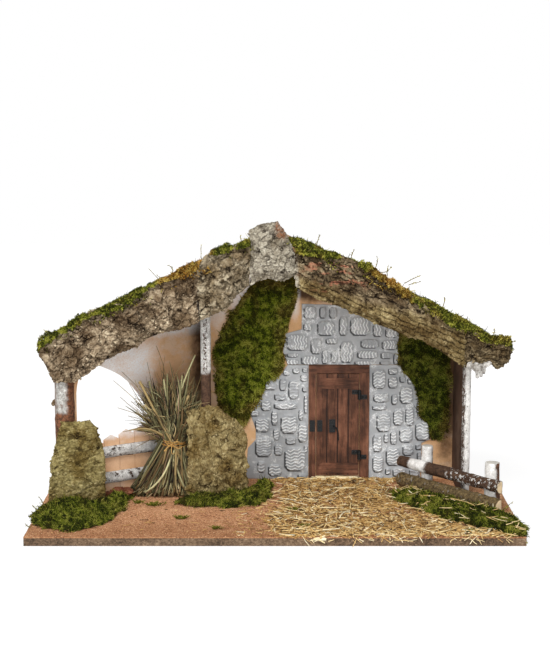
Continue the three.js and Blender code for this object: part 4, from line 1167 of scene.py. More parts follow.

# %% [markdown]
# ## Moss
# Preserved sheet moss is thousands of tiny leaves over a brown mat. Hair could draw them, but hair
# has no closed surface and can't be handed on as a mesh. Here each patch is one mesh: the measured
# mat made lumpy, on it tens of thousands of closed spikes, and among them longer curling strands.
# Every leaf stores a shade, how near a point is to its tip, and how dry it is, so that roots get a
# dark painted shade, tips keep their tone and thin places turn yellow-brown.


# %% The look of moss
def moss_finish(name, tones, dry, root="2b2c0e"):
    """Tones run from shaded to bright leaves, and dry does so for dry ones. Root is the colour of the
    painted shade that each leaf fades to towards its root.
    """
    made = Finish(name)
    value = made.painted("shade")
    colour = made.ramp(value, *zip((0.2, 0.45, 0.68, 0.92), tones))
    colour = made.mix(made.painted("dry"), colour, made.ramp(value, *zip((0.2, 0.6, 0.9), dry)))
    # Painted shade: towards its root each leaf fades to the dark root colour, for depth in the moss.
    colour = made.mix(made.painted("tip").step(-0.2, 0.7), tone(root), colour)
    made.surface(colour, 0.9, specular=0.1)
    return made


ROOF_TONES = ("272a09", "555a18", "7b8027", "aeaa4a")
WALL_TONES = ("272e07", "58660f", "7a871c", "a6ab42")
SHADED_TONES = ("1c2106", "434d0e", "5f6a17", "888d38")
GROUND_TONES = ("191e06", "454e11", "68711c", "96953f")
BROWN = ("5c4a1c", "9d8340", "cbb46e")
roof_moss = moss_finish("roof_moss", ROOF_TONES, ("5a3a14", "b07c34", "d6b566"))
wall_moss = moss_finish("wall_moss", WALL_TONES, BROWN)
shaded_moss = moss_finish("shaded_moss", SHADED_TONES, ("45370f", "7d682e", "a8945a"))
ground_moss = moss_finish("ground_moss", GROUND_TONES, BROWN)
print("4 finishes for moss")


# %% Longer strands
def strands(roots, ahead, length, radius, rng):
    """Longer bent leaves: each is a thin closed tube that curls over."""
    steps = np.linspace(0, 1, 5)[None, :, None]
    curl = rng.normal(0, 0.45, (len(roots), 1, 3)) * length[:, None, None]
    paths = roots[:, None] + ahead[:, None] * length[:, None, None] * steps + curl * steps**2
    radii = radius * MM * np.array([1, 1, 0.85, 0.6, 0.2]) * np.ones((len(roots), 1))
    points, faces = tubes(paths, radii)
    return points, split(faces), np.tile(np.repeat([0.2, 0.4, 0.6, 0.85, 1.0], 4), len(roots))


# %% The mat, its shades and its dry patches
def lumpy_mat(node, seed):
    """The measured mat made lumpy: its points, faces and normals."""
    points, faces, normals = refined(node, 1.6, 1)
    heaped = lumps(points, 5, seed) * 1.1 + rough(points, 10, seed + 1) * 2
    heaped = heaped + lumps(points, 22, seed + 2) * 1.4 - 0.8
    return points + normals * (heaped * MM)[:, None], split(faces), normals


def leaf_shades(spots, on_a_wall, seed, rng):
    """Light and dark leaves in clumps. High on a wall they are painted darker, a painted shadow of the
    roof.
    """
    shade = 0.42 + 0.6 * lumps(spots, 3.2, seed + 5) + 0.3 * lumps(spots, 12, seed + 8)
    shade = shade + rng.normal(0, 0.3, len(spots))
    # Painted shadow of the roof on leaves high on a wall.
    if on_a_wall:
        shade = shade - 0.45 * ease(spots[:, 2] / MM, 212, 250)
    return np.clip(shade, 0, 1)


def never_dry(place):
    """Moss that is green all over."""
    return np.zeros(len(place))


def patchy(dry, points, seed, share):
    """Dryness with noise, so that a dry patch has no straight rim."""
    return np.clip(dry + share * rough(points, 12, seed), 0, 1) ** 1.3


# %% A patch of moss
def moss(
    node, finish, count, length, seed, away, lean=(0, 0, 0), dryness=never_dry, spill=None, curly=0.04
):
    """Leaves on the side of a mat that faces away from what carries it. Dryness is given points
    and returns 0 to 1. Spill moves some of the leaves off the mat, over its edge."""
    rng = np.random.default_rng(seed)
    body, triangles, normals = lumpy_mat(node, seed)
    spots, facing = scattered(body, triangles, count * 2, rng)
    kept = np.flatnonzero(facing @ np.array(away, float) > -0.35)[:count]
    spots, facing = spots[kept], facing[kept]
    if spill:
        spots = spill(spots, facing, rng)
    ahead = unit(facing * 0.6 + unit(rng.normal(size=spots.shape)) + np.array(lean, float))
    clump = 1 + 0.5 * lumps(spots, 6, seed + 4)
    reach = rng.uniform(0.5, 1.15, len(spots)) * length * clump * MM
    radius = rng.uniform(0.35, 0.75, len(spots)) * MM
    leaf, leaf_faces = spikes(spots - ahead * 0.3 * MM, spots + ahead * reach[:, None], radius)
    shade = leaf_shades(spots, away[1] < 0, seed, rng)
    dry = patchy(dryness(spots), spots, seed + 6, 0.55)
    mat_dry = patchy(dryness(body), body, seed + 6, 0.55)
    long = rng.choice(len(spots), int(count * curly), replace=False)
    long_reach = rng.uniform(1.0, 1.8, len(long)) * length * MM
    curl, curl_faces, curl_tip = strands(spots[long], ahead[long], long_reach, 0.4, rng)
    mat = {"shade": np.full(len(body), 0.3), "tip": np.full(len(body), 0.1), "dry": mat_dry}
    short = {
        "shade": np.repeat(shade, 4),
        "tip": np.tile([0.2, 0.2, 0.2, 1], len(spots)),
        "dry": np.repeat(dry, 4),
    }
    tall = {
        "shade": np.repeat(shade[long], 20),
        "tip": curl_tip,
        "dry": np.repeat(dry[long], 20),
    }
    parts = (body, triangles, mat), (leaf, leaf_faces, short), (curl, curl_faces, tall)
    points, faces, painted = merged(*parts)
    piece(f"{node}_tufts", points, faces, finish, "moss", [node], smooth=False, **painted)
    return body, normals


# %% Leaves that lie past a mat's edge
SLOPE = (math.sin(ROOF_PITCH), 0, math.cos(ROOF_PITCH))
WALL_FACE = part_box("back_wall")[0].y
print("the moss on the wall starts at y =", round(WALL_FACE / MM, 1), "mm")


def over_the_bark(spots, facing, rng):
    """Leaves near the roof's front edge hang forwards over the bark."""
    near = spots[:, 1] < 12 * MM
    forward = rng.uniform(0, 1, len(spots)) ** 2 * 15 * MM * near
    steep = (facing[:, 2] > 0.2) * near
    return spots - np.stack([0 * forward, forward * steep, forward * steep * 0.25], 1)


def onto_the_board(spots, facing, rng):
    """Leaves at a ground mat's rim lie a little further out, in clumps."""
    low = spots[:, 2] < GROUND + 4.5 * MM
    outward = facing * (1, 1, 0)
    reach = np.clip(lumps(spots, 11, 7) + 0.2, 0, 1) * rng.uniform(0, 9, len(spots)) * MM * low
    spots = spots + outward * reach[:, None]
    spots[:, 2] = np.maximum(spots[:, 2] - reach * 0.3, GROUND)
    return spots


def over_the_wall(spots, facing, rng):
    """Leaves at a wall mat's rim lie a little further out, in clumps."""
    low = spots[:, 1] > WALL_FACE - 5 * MM
    reach = np.clip(lumps(spots, 9, 7) + 0.3, 0, 1) * rng.uniform(0, 7, len(spots)) * MM * low
    spots = spots + facing * (1, 0, 1) * reach[:, None]
    spots[:, 1] = np.minimum(spots[:, 1], WALL_FACE - 0.3 * MM)
    return spots


# %% Where moss is dry
def ragged_x(place):
    """X in mm with noise, for the border of a dry stretch."""
    return place[:, 0] / MM + 20 * rough(place, 30, 5)


def dry_on_the_left_slope(place):
    """Yellow-brown in the middle of the slope, and a little below the ridge."""
    x = ragged_x(place)
    middle = ease(x, -138, -112) * (1 - ease(x, -66, -48))
    return middle * 0.95 + ease(x, -40, -25) * 0.3


def dry_on_the_right_slope(place):
    """Yellow-brown in one stretch near the middle of the slope."""
    x = ragged_x(place)
    return ease(x, 84, 104) * (1 - ease(x, 138, 158)) * 0.7 + 0.1


def dry_at_the_edge(place):
    """Where a wall's moss is thin."""
    lift = (WALL_FACE - place[:, 1]) / MM
    return (1 - ease(lift, 2.5, 6)) * 0.65


def dry_at_the_right_edge(place):
    """The same, and along the door's side of the left patch."""
    right_rim = ease(place[:, 0] / MM, -8, 8) * (1 - ease(place[:, 2] / MM, 205, 225)) * 0.5
    return np.maximum(dry_at_the_edge(place), right_rim)


# %% Moss on the roof
HANGS_FORWARD = (0, -0.3, 0)
over_the_edge = {"lean": HANGS_FORWARD, "spill": over_the_bark, "curly": 0.03}
left_away = (-SLOPE[0], 0, SLOPE[2])
left_dry, right_dry = dry_on_the_left_slope, dry_on_the_right_slope
moss("moss_roof_left", roof_moss, 27500, 2.8, 81, left_away, dryness=left_dry, **over_the_edge)
moss("moss_roof_right", roof_moss, 27500, 2.8, 83, SLOPE, dryness=right_dry, **over_the_edge)

# %% Moss on the back wall
TO_THE_FRONT = (0, -1, 0)
moss(
    "moss_wall_left",
    wall_moss,
    29000,
    2.7,
    85,
    TO_THE_FRONT,
    lean=(0, 0, -0.1),
    dryness=dry_at_the_right_edge,
    spill=over_the_wall,
    curly=0.05,
)
moss(
    "moss_wall_right",
    shaded_moss,
    19000,
    2.7,
    87,
    TO_THE_FRONT,
    lean=(0, 0, -0.2),
    dryness=dry_at_the_edge,
    spill=over_the_wall,
    curly=0.06,
)

# %% Moss on the ground
loose_rim = {"spill": onto_the_board, "curly": 0.06}
moss("moss_ground_left", ground_moss, 26000, 2.6, 89, UP, **loose_rim)
moss("moss_ground_middle", ground_moss, 16000, 2.6, 91, UP, **loose_rim)
right_mat, right_mat_normals = moss("moss_ground_right", ground_moss, 28000, 2.6, 93, UP, **loose_rim)

# %% [markdown]
# ## Moss over the bark's upper edge
# On the real roof the moss rises behind the bark in soft heaps and hides most of its upper edge.
# The measured mats end at the bark. They could be made higher, but a heap has to follow each
# notch of the torn edge. So the edge is read from the bark's own points, and short tufts are
# heaped along it, apart from the stretches where the real bark is bare.


# %% The height of the edge
def top_edge(nodes, left, right, step=3.0):
    """The height of the highest point of some parts at each place along X, in mm."""
    points = np.concatenate([[v.co[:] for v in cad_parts[n].data.vertices] for n in nodes]) / MM
    places = np.arange(left, right + step, step)
    near = [points[np.abs(points[:, 0] - x) < 2 * step, 2] for x in places]
    heights = [z.max() if len(z) else np.nan for z in near]
    known = ~np.isnan(heights)
    return places[known], np.array(heights)[known]


_, edge_heights = top_edge(("fascia_right", "fascia_right_end"), 22, 249)
print("the right bark's edge falls from", round(edge_heights[0]), "to", round(edge_heights[-1]), "mm")


# %% Tufts along the edge
def fringe(name, nodes, left, right, count, seed, dryness, bare=()):
    """Short dense tufts along the edge, in heaps, apart from the bare stretches."""
    rng = np.random.default_rng(seed)
    x = rng.uniform(left, right, count)
    heap = 5.5 + 5 * lumps(np.stack([x * MM, 0 * x, 0 * x], 1), 16, seed)
    for start, end in bare:
        heap = heap * (1 - ease(x, start - 4, start + 4) * (1 - ease(x, end - 4, end + 4)))
    middle, reach = -6, 8
    around = rng.uniform(-0.4, math.pi, count)
    out = np.sqrt(rng.random(count)) * heap
    y = middle - reach * np.cos(around) * np.sqrt(rng.random(count))
    edge = np.interp(x, *top_edge(nodes, left, right))
    z = edge - 3 + out * np.abs(np.sin(around)) - 0.35 * (y < -9) * out
    spots = np.stack([x, y, z], 1)[heap > 1.2] * MM
    ahead = unit(rng.normal(size=spots.shape) + (0, -0.5, 0.5))
    length = rng.uniform(1.2, 3.2, len(spots))
    radius = rng.uniform(0.35, 0.7, len(spots))
    points, faces = spikes(spots, spots + ahead * length[:, None] * MM, radius * MM)
    shade = 0.45 + 0.5 * lumps(spots, 3.2, seed + 1) + rng.normal(0, 0.28, len(spots))
    dry = patchy(dryness(spots), spots, seed + 2, 0.5)
    painted = {"shade": np.repeat(np.clip(shade, 0, 1), 4), "dry": np.repeat(dry, 4)}
    painted["tip"] = np.tile([0.25, 0.25, 0.25, 1], len(spots))
    piece(name, points, faces, roof_moss, "moss", smooth=False, **painted)


left_bark = ("fascia_left_lower", "fascia_left_upper")
left_bare = [(-78, -66), (-46, -38)]
fringe("fringe_left", left_bark, -249, -27, 15000, 211, dry_on_the_left_slope, left_bare)
right_bark = ("fascia_right", "fascia_right_end")
right_bare = [(66, 88), (207, 216)]
fringe("fringe_right", right_bark, 22, 249, 14000, 213, dry_on_the_right_slope, right_bare)

# %% [markdown]
# ## Sprigs
# Here and there a single stem of moss stands up from the roof or lies over the board's edge. It
# could come from the same random spread as the leaves, but these few decide how the outline looks.
# So each one is placed by its root and its tip, and only its leaves are random.


# %% A sprig's stem and leaves
def sprigs(name, ends, finish, seed, leaves=16, leaf=3.0, dry=0.3):
    """Single moss stems with leaves on both sides, from a root to a tip in mm."""
    rng = np.random.default_rng(seed)
    parts = []
    for root, tip in ends:
        root, tip = np.array(root, float) * MM, np.array(tip, float) * MM
        steps = np.linspace(0, 1, 6)[:, None]
        bend = rng.normal(0, 0.12, 3) * np.linalg.norm(tip - root)
        stem = root + (tip - root) * steps + bend * np.sin(steps * math.pi)
        points, faces = tubes(stem[None], np.linspace(0.5, 0.2, 6)[None] * MM)
        parts.append((points, split(faces), {"tip": np.full(24, 0.6), "shade": np.full(24, 0.4)}))
        where = np.sort(rng.uniform(0.25, 1, leaves))
        roots = np.stack([np.interp(where, steps[:, 0], stem[:, k]) for k in range(3)], 1)
        ahead = unit(unit(tip - root) * 0.8 + unit(rng.normal(size=roots.shape)))
        length = leaf * rng.uniform(0.5, 1.2, leaves) * (1.2 - 0.6 * where)
        points, faces = spikes(roots, roots + ahead * length[:, None] * MM, 0.45 * MM)
        shade = np.repeat(rng.uniform(0.3, 0.9, leaves), 4)
        parts.append((points, faces, {"tip": np.tile([0.4, 0.4, 0.4, 1], leaves), "shade": shade}))
    points, faces, painted = merged(*parts)
    painted["dry"] = np.full(len(points), dry)
    piece(name, points, faces, finish, "moss", smooth=False, **painted)


# %% Sprigs on the roof
roof_sprigs = [
    ((-116, 0, 246), (-132, -4, 264)),
    ((-113, 0, 248), (-124, -2, 257)),
    ((-109, 2, 250), (-113, 0, 267)),
    ((-104, 2, 252), (-110, 0, 260)),
    ((-76, 4, 268), (-77, 2, 288)),
    ((-74, 4, 268), (-69, 2, 279)),
    ((-33, 4, 286), (-36, 2, 298)),
    ((42, 4, 284), (47, 2, 299)),
    ((80, 2, 274), (83, 0, 284)),
    ((104, 0, 262), (106, -2, 277)),
    ((108, 0, 260), (122, -3, 266)),
    ((118, 0, 256), (119, -3, 268)),
    ((136, 0, 248), (153, -4, 257)),
    ((140, 0, 246), (152, -4, 250)),
    ((176, 0, 222), (178, -2, 233)),
    ((228, 0, 190), (230, -2, 200)),
    ((240, -2, 180), (252, -5, 187)),
    ((244, -2, 176), (251, -5, 178)),
    ((-236, -2, 190), (-243, -4, 199)),
    ((-244, -3, 180), (-250, -5, 176)),
]
sprigs("roof_sprigs", roof_sprigs, roof_moss, 201)

# %% Sprigs over the board's edge
ground_sprigs = [
    ((-236, -60, 22), (-243, -62, 34)),
    ((-240, -66, 18), (-249, -70, 27)),
    ((-228, -50, 22), (-226, -54, 35)),
    ((-246, -96, 12), (-252, -99, 16)),
    ((241, -112, 12), (253, -122, 9)),
    ((244, -100, 12), (253, -104, 14)),
    ((246, -118, 12), (251, -128, 4)),
    ((236, -60, 20), (246, -58, 28)),
]
sprigs("ground_sprigs", ground_sprigs, ground_moss, 203)

# %% [markdown]
# ## Straw
# Chopped straw lies loose over the right half of the board, and hangs a little over its front
# edge. A picture of straw on the mat would look flat next to the door's sill. So each stalk is a
# closed thin tube with a slight bend, laid flat with a small random tilt, and its shade is stored
# on it. Pale long pieces lie on top and at the door's sill.
# %% The look of straw
straw = Finish("dry_straw")
straw_tones = [
    (0.0, "4f371d"),
    (0.2, "8f6b3b"),
    (0.42, "c39a5a"),
    (0.65, "dcb97a"),
    (0.85, "eed9a4"),
    (1.0, "faeecb"),
]
straw.surface(straw.ramp(straw.painted("shade"), *straw_tones), 0.6, specular=0.3)
print("straw has", len(straw_tones), "tones")


# %% Stalks
def laid(spots, heading, length, tilt, rng, bend=0.06):
    """Slightly bent stalks: where the middle of each one is, where it points and how long it is."""
    ahead = np.stack([np.cos(heading), np.sin(heading), tilt], 1)
    aside = np.stack([-ahead[:, 1], ahead[:, 0], 0 * tilt], 1)
    part_way = np.linspace(-0.5, 0.5, 4)[None, :, None]
    curve = rng.normal(0, bend, (len(spots), 1, 1)) * aside[:, None] * (1 - 4 * part_way**2)
    return spots[:, None] + length[:, None, None] * (part_way * ahead[:, None] + curve)


def on_top_of(node, count, rng):
    """Random places on the upper side of a measured part."""
    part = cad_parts[node].data
    corners = np.array([v.co for v in part.vertices])
    part.calc_loop_triangles()
    triangles = np.array([t.vertices for t in part.loop_triangles])
    spots, facing = scattered(corners, triangles, count * 4, rng)
    return spots[facing[:, 2] > 0.5][:count]


def stalks(name, paths, radius, width, shade, rng, replaces=()):
    """One mesh of stalks. Radius is a range in mm."""
    radii = np.repeat(rng.uniform(*radius, (len(paths), 1)), paths.shape[1], axis=1) * MM
    points, faces = tubes(paths, radii, width)
    painted = np.repeat(np.clip(shade, 0, 1), 4 * paths.shape[1])
    piece(name, points, faces, straw, "straw", replaces, shade=painted)


# %% The straw on the ground
STRAW_ACROSS = (-0.03, 0.245)
STRAW_DEEP = (-0.125, 0.106)
STALKS_LIE_UP_TO = 4.4
rng = np.random.default_rng(101)
count = 7000
spots = on_top_of("straw_mat", count, rng)
thin = rng.random(len(spots)) < 0.55 + 0.6 * ease(rough(spots, 26, 5), -0.5, 0.3)
spots = spots[thin] + rng.normal(0, 4, (int(thin.sum()), 3)) * MM
spots[:, 0] = spots[:, 0].clip(*STRAW_ACROSS)
spots[:, 1] = spots[:, 1].clip(*STRAW_DEEP)
spots[:, 2] = GROUND + rng.uniform(0.3, 2.6, len(spots)) * MM
length = rng.gamma(2.4, 3.0, len(spots)).clip(2, 22) * MM
heading = rng.uniform(0, 6.3, len(spots))
paths = laid(spots, heading, length, rng.normal(0, 0.25, len(spots)), rng)
paths[:, :, 2] = paths[:, :, 2].clip(GROUND + 0.3 * MM, GROUND + STALKS_LIE_UP_TO * MM)
shade = rng.normal(0.43, 0.28, len(spots))
stalks("straw_stalks", paths, (0.2, 0.5), 1.5, shade, rng, ["straw_mat"])
print(len(spots), "stalks, in the mean", round(length.mean() / MM, 1), "mm long")


# %% Single pieces on top
def strewn(name, count, low, high, length, shade, seed, heading=None, tilt=0.12, radius=(0.3, 0.6)):
    """Stalks between two corners, in mm. Shade and heading are a mean and a spread."""
    rng = np.random.default_rng(seed)
    spots = rng.uniform(low, high, (count, 3)) * MM
    turn = rng.uniform(0, 6.3, count) if heading is None else rng.normal(*heading, count)
    long = rng.uniform(*length, count) * MM
    paths = laid(spots, turn, long, rng.normal(0, tilt, count), rng)
    stalks(name, paths, radius, 1.6, rng.normal(*shade, count), rng)


# %% Straw along the front edge
FRONT = (5, -125, 9.6), (240, -98, 12.5)
strewn("straw_front", 230, *FRONT, (6, 20), (0.68, 0.22), 103, radius=(0.25, 0.5))
HANGING = (20, -127.5, 5.5), (236, -125.5, 9.5)
strewn("straw_hanging", 44, *HANGING, (5, 14), (0.78, 0.18), 104, tilt=0.5, radius=(0.2, 0.38))
FAN = (38, -127.5, 6), (46, -125.5, 9)
strewn("straw_fan", 9, *FAN, (14, 24), (0.97, 0.05), 105, (2.3, 0.4), 0.5, (0.5, 0.9))

# %% Straw on the left, at the sill, at the wall's foot and in the middle
LEFT_RIM = (-40, -122, 9.5), (10, 60, 10.2)
strewn("straw_left", 220, *LEFT_RIM, (2, 9), (0.5, 0.25), 106, radius=(0.2, 0.4))
SILL = (48, 106.5, 10), (92, 113.5, 13)
strewn("straw_sill", 150, *SILL, (6, 18), (0.85, 0.15), 107, (0, 0.25), 0.02)
WALL_FOOT = (-2, 100, 9.6), (140, 112, 12)
strewn("straw_wall_foot", 240, *WALL_FOOT, (5, 16), (0.55, 0.2), 108, tilt=0.05)
MIDDLE = (0, -100, 11), (180, 90, 13)
strewn("straw_long", 60, *MIDDLE, (14, 30), (0.85, 0.12), 109, tilt=0.04, radius=(0.3, 0.5))

# %% Straw on the moss
rng = np.random.default_rng(110)
on_top = right_mat[right_mat_normals[:, 2] > 0.6]
few = 70
spots = on_top[rng.integers(0, len(on_top), few)] + (0, 0, 3 * MM)
length = rng.uniform(3, 16, few) * MM
paths = laid(spots, rng.uniform(0, 6.3, few), length, rng.normal(0, 0.2, few), rng)
stalks("straw_on_moss", paths, (0.25, 0.45), 1.5, rng.normal(0.75, 0.15, few), rng)

# %% [markdown]
# ## The sheaf
# Long grass blades and stems are tied at the waist with raffia, and fan out above and below. Each
# one could be drawn by hand as a curve, but there are over a thousand. So each blade is a flat
# tube along a smooth curve through a random foot, waist and head. Blades in the middle of the
# sheaf are painted darker, a painted shade that gives the deep gaps of the real one. Twigs stick
# out on the left.
# %% The look of dry grass
stems = Finish("grass_blades")
shade = stems.painted("shade")
green = stems.ramp(shade, (0.0, "17130b"), (0.3, "4e4a31"), (0.6, "827c57"), (1.0, "c3bc8e"))
tan = stems.ramp(shade, (0.0, "1d150c"), (0.3, "665033"), (0.6, "a08a5c"), (1.0, "e2cf9f"))
pink = stems.ramp(shade, (0.0, "2a1a14"), (0.5, "8d6a55"), (1.0, "c7a58c"))
colour = stems.mix(stems.painted("tan").step(0.45, 0.55), green, tan)
colour = stems.mix(stems.painted("tan").step(0.9, 0.95), colour, pink)
stems.surface(colour, 0.65, specular=0.25)
print("dry grass in green, tan and pink")

# %% The sheaf's foot, waist and head
waist_low, waist_high = (np.array(corner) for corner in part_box("sheaf_tie"))
WAIST = (waist_low + waist_high) / 2
FOOT_MIDDLE = np.array([-122, 43, 9]) * MM
HEAD_MIDDLE = np.array([-113, 43, 118]) * MM
SPREAD = np.array([38, 15, 0])
WAIST_SPREAD = np.array([13, 9, 0])
DROOP = 75
print("the sheaf's waist is", round(WAIST[2] / MM, 1), "mm up")


# %% Blades
def blades(count, seed):
    """The paths of many blades, with their radii, widths, facing and brightness."""
    rng = np.random.default_rng(seed)
    reach = np.sqrt(rng.random(count))
    angle = rng.uniform(0, 2 * math.pi, count)
    around = np.stack([np.cos(angle), np.sin(angle), 0 * angle], 1) * reach[:, None]
    foot = FOOT_MIDDLE + around * SPREAD * MM
    foot[:, 2] += rng.uniform(0, 9, count) * MM
    crossed = angle + np.where(rng.random(count) < 0.35, math.pi, 0) + rng.normal(0, 0.7, count)
    inner = np.stack([np.cos(crossed), np.sin(crossed), 0 * crossed], 1)
    waist = WAIST + inner * reach[:, None] * WAIST_SPREAD * MM
    waist[:, 2] += rng.normal(0, 5, count) * MM
    spread = crossed + rng.normal(0, 0.7, count)
    wide = rng.uniform(0.55, 1.25, count) * reach
    fan = np.stack([np.cos(spread), np.sin(spread), 0 * spread], 1) * SPREAD
    head = HEAD_MIDDLE + fan * wide[:, None] * MM
    head[:, 2] += (rng.normal(0, 14, count) - 12 * wide) * MM
    head = head + rng.normal(0, 5, (count, 3)) * MM
    steps = np.linspace(0, 1, 9)[:, None]
    lower = foot[:, None] + (waist - foot)[:, None] * steps ** np.array([0.8, 0.8, 1])
    upper = waist[:, None] + (head - waist)[:, None] * steps ** np.array([1.25, 1.25, 1])
    paths = np.concatenate([lower[:, :-1], upper], axis=1)
    part = np.linspace(-1, 1, paths.shape[1])[None, :, None]
    bow = rng.normal(0, 5.5, (count, 1, 3)) * MM * np.array([1, 1, 0.2])
    paths = paths + bow * np.sin(part * math.pi) * np.abs(part)
    droop = (rng.random(count) < 0.22)[:, None] * np.clip(part[..., 0] - 0.6, 0, 1) ** 2
    outward = np.stack([np.cos(spread), np.sin(spread) * 0.4, 0 * spread - 0.7], 1)
    paths = paths + outward[:, None] * droop[:, :, None] * DROOP * MM
    paths[:, :, 2] = np.maximum(paths[:, :, 2], GROUND)
    taper = np.interp(part[0, :, 0], [-1, 0.4, 0.8, 1], [1, 1, 0.7, 0.15])
    broad = rng.random(count) < 0.22
    radii = np.where(broad, rng.uniform(0.3, 0.45, count), rng.uniform(0.22, 0.55, count))
    width = np.where(broad, rng.uniform(2.2, 4.4, count), 1.1)
    aside = 0.5 * rng.normal(size=count)
    turn = unit(np.stack([aside, -1 + 0 * angle, 0.3 * rng.normal(size=count)], 1))
    # Painted shade: blades in the middle of the sheaf and towards its back get a lower brightness.
    front = np.clip(0.5 - around[:, 1] * 0.5, 0, 1)
    bright = rng.normal(0.42, 0.3, count) * (0.2 + 0.9 * np.maximum(front, reach * 0.8))
    return paths, radii[:, None] * taper * MM, width, turn, bright, rng


paths, radii, width, turn, bright, rng = blades(1400, 111)
points, faces = tubes(paths, radii, width, turn)
corners = paths.shape[1] * 4
shade = np.repeat(np.clip(bright, 0, 1), corners)
painted = {"shade": shade, "tan": np.repeat(rng.random(len(paths)), corners)}
piece("sheaf_blades", points, faces, stems, "dry_stems", ["sheaf"], **painted)


# %% Single stems
def single_stems(name, ends, radius, width, shade, hue, seed, bend=0.03):
    """Stems from one end to the other, in mm. Hue runs from green over tan to pink."""
    rng = np.random.default_rng(seed)
    ends = np.array(ends, float) * MM
    part = np.linspace(0, 1, 8)[None, :, None]
    length = np.linalg.norm(ends[:, 1] - ends[:, 0], axis=1)[:, None, None]
    bow = rng.normal(0, bend, (len(ends), 1, 3)) * length * np.sin(part * math.pi)
    paths = ends[:, None, 0] + (ends[:, 1] - ends[:, 0])[:, None] * part + bow
    radii = radius * MM * np.linspace(1, 0.6, 8) * np.ones((len(ends), 1))
    points, faces = tubes(paths, radii, width, np.array([[0.0, -1.0, 0.1]]))
    tones = np.repeat(np.clip(rng.normal(shade, 0.12, len(ends)), 0, 1), 32)
    piece(name, points, faces, stems, "dry_stems", shade=tones, tan=np.full(len(points), hue))


# %% Thick stalks across the tie, and long blades
crossing = [
    ((-146, 30, 138), (-101, 33, 49)),
    ((-93, 32, 122), (-122, 31, 46)),
    ((-141, 32, 112), (-104, 33, 58)),
]
single_stems("thick_stalks", crossing, 1.3, 1.3, 0.62, 0.7, 121)
long_blades = [
    ((-112, 33, 70), (-86, 34, 166)),
    ((-112, 33, 72), (-92, 34, 150)),
    ((-116, 33, 74), (-116, 32, 146)),
    ((-114, 33, 74), (-120, 32, 140)),
    ((-110, 33, 72), (-100, 32, 144)),
    ((-118, 33, 72), (-136, 32, 138)),
]
single_stems("long_blades", long_blades, 0.55, 2.8, 0.62, 0.3, 122)

# %% Thin twigs
twigs = [
    ((-118, 36, 84), (-175, 40, 137)),
    ((-120, 36, 90), (-166, 40, 147)),
    ((-116, 36, 80), (-168, 40, 119)),
    ((-116, 36, 84), (-158, 40, 134)),
    ((-114, 36, 76), (-171, 40, 107)),
    ((-114, 36, 80), (-156, 40, 114)),
    ((-120, 36, 92), (-152, 40, 138)),
    ((-112, 36, 70), (-160, 40, 98)),
    ((-122, 32, 95), (-70, 20, 117)),
    ((-108, 36, 90), (-80, 36, 142)),
    ((-112, 36, 100), (-86, 36, 132)),
    ((-112, 36, 90), (-98, 36, 160)),
    ((-118, 36, 90), (-128, 36, 176)),
    ((-118, 36, 90), (-138, 36, 158)),
]
single_stems("thin_twigs", twigs, 0.42, 1.0, 0.45, 0.6, 123, 0.06)

# %% [markdown]
# ## The raffia tie
# A strip of raffia, split into strands, is wound round the sheaf's waist, and its ends curl out of
# a knot in front. A single band would be simpler, but the real one shows its strands. So four thin
# rings that waver a little stand side by side, with six loose curled ends. A twisted cord would be
# wrong, because raffia is flat and not spun.
# %% Rings of raffia
raffia = Finish("raffia")
colour = raffia.ramp(raffia.painted("shade"), (0.0, "7a5220"), (0.5, "b98339"), (1.0, "dcb56f"))
raffia.surface(colour, 0.55, specular=0.3)
RING_RADIUS = 13.3
WOUND_HEIGHT = 3.6
WAVER = 1.8
rng = np.random.default_rng(7)
rings_wound, ring_points = 4, 40
turns = np.linspace(0, 2 * math.pi, ring_points)
rings = []
for k in range(rings_wound):
    level = WAIST[2] + (k / (rings_wound - 1) - 0.5) * WOUND_HEIGHT * MM
    radius = (RING_RADIUS + rng.uniform(-0.2, 0.9)) * MM
    wobble = WAVER * MM * np.sin(turns + rng.uniform(0, 6))
    across, deep = WAIST[0] + radius * np.cos(turns), WAIST[1] + radius * np.sin(turns)
    rings.append(np.stack([across, deep, level + wobble], 1))
thin = np.full((rings_wound, ring_points), 0.34 * MM)
wound = tubes(np.array(rings), thin, 0.7, np.array([[0.0, 0.0, 1.0]]))
print(rings_wound, "rings of raffia, about", round(2 * math.pi * RING_RADIUS), "mm round")

# %% The knot's loose ends
KNOT_FROM_WAIST = (-2, -14.5, 0)
knot = WAIST + np.array(KNOT_FROM_WAIST) * MM
ends = np.array([(9, -2, 3), (11, -1, -3), (-7, -2, 5), (4, -2, -9), (-5, -1, -6), (7, -2, 6)]) * MM
steps = np.linspace(0, 1, 12)[None, :, None]
curled = rng.normal(0, 3, (len(ends), 1, 3)) * MM * np.sin(steps * math.pi)
loose = tubes(knot + ends[:, None] * steps + curled, np.full((len(ends), 12), 0.4 * MM), 0.7)
parts = (*wound, {"shade": rng.random(len(wound[0]))}), (*loose, {"shade": np.full(len(loose[0]), 0.8)})
points, faces, painted = merged(*parts)
piece("raffia_tie", points, faces, raffia, "straw", ["sheaf_tie"], **painted)

# %% [markdown]
# ## Small things
# A few details tell that the stable was made by hand: flakes of white bark under the right eave,
# a stub of a twig on the left post, a red-brown chip by the fence, and crumbs of moss on the sand.
# They could be cut from the slabs' meshes, but each lies alone. So each flake is a squared ball
# that is torn by noise, with crumbs around it, and takes a finish of bark.


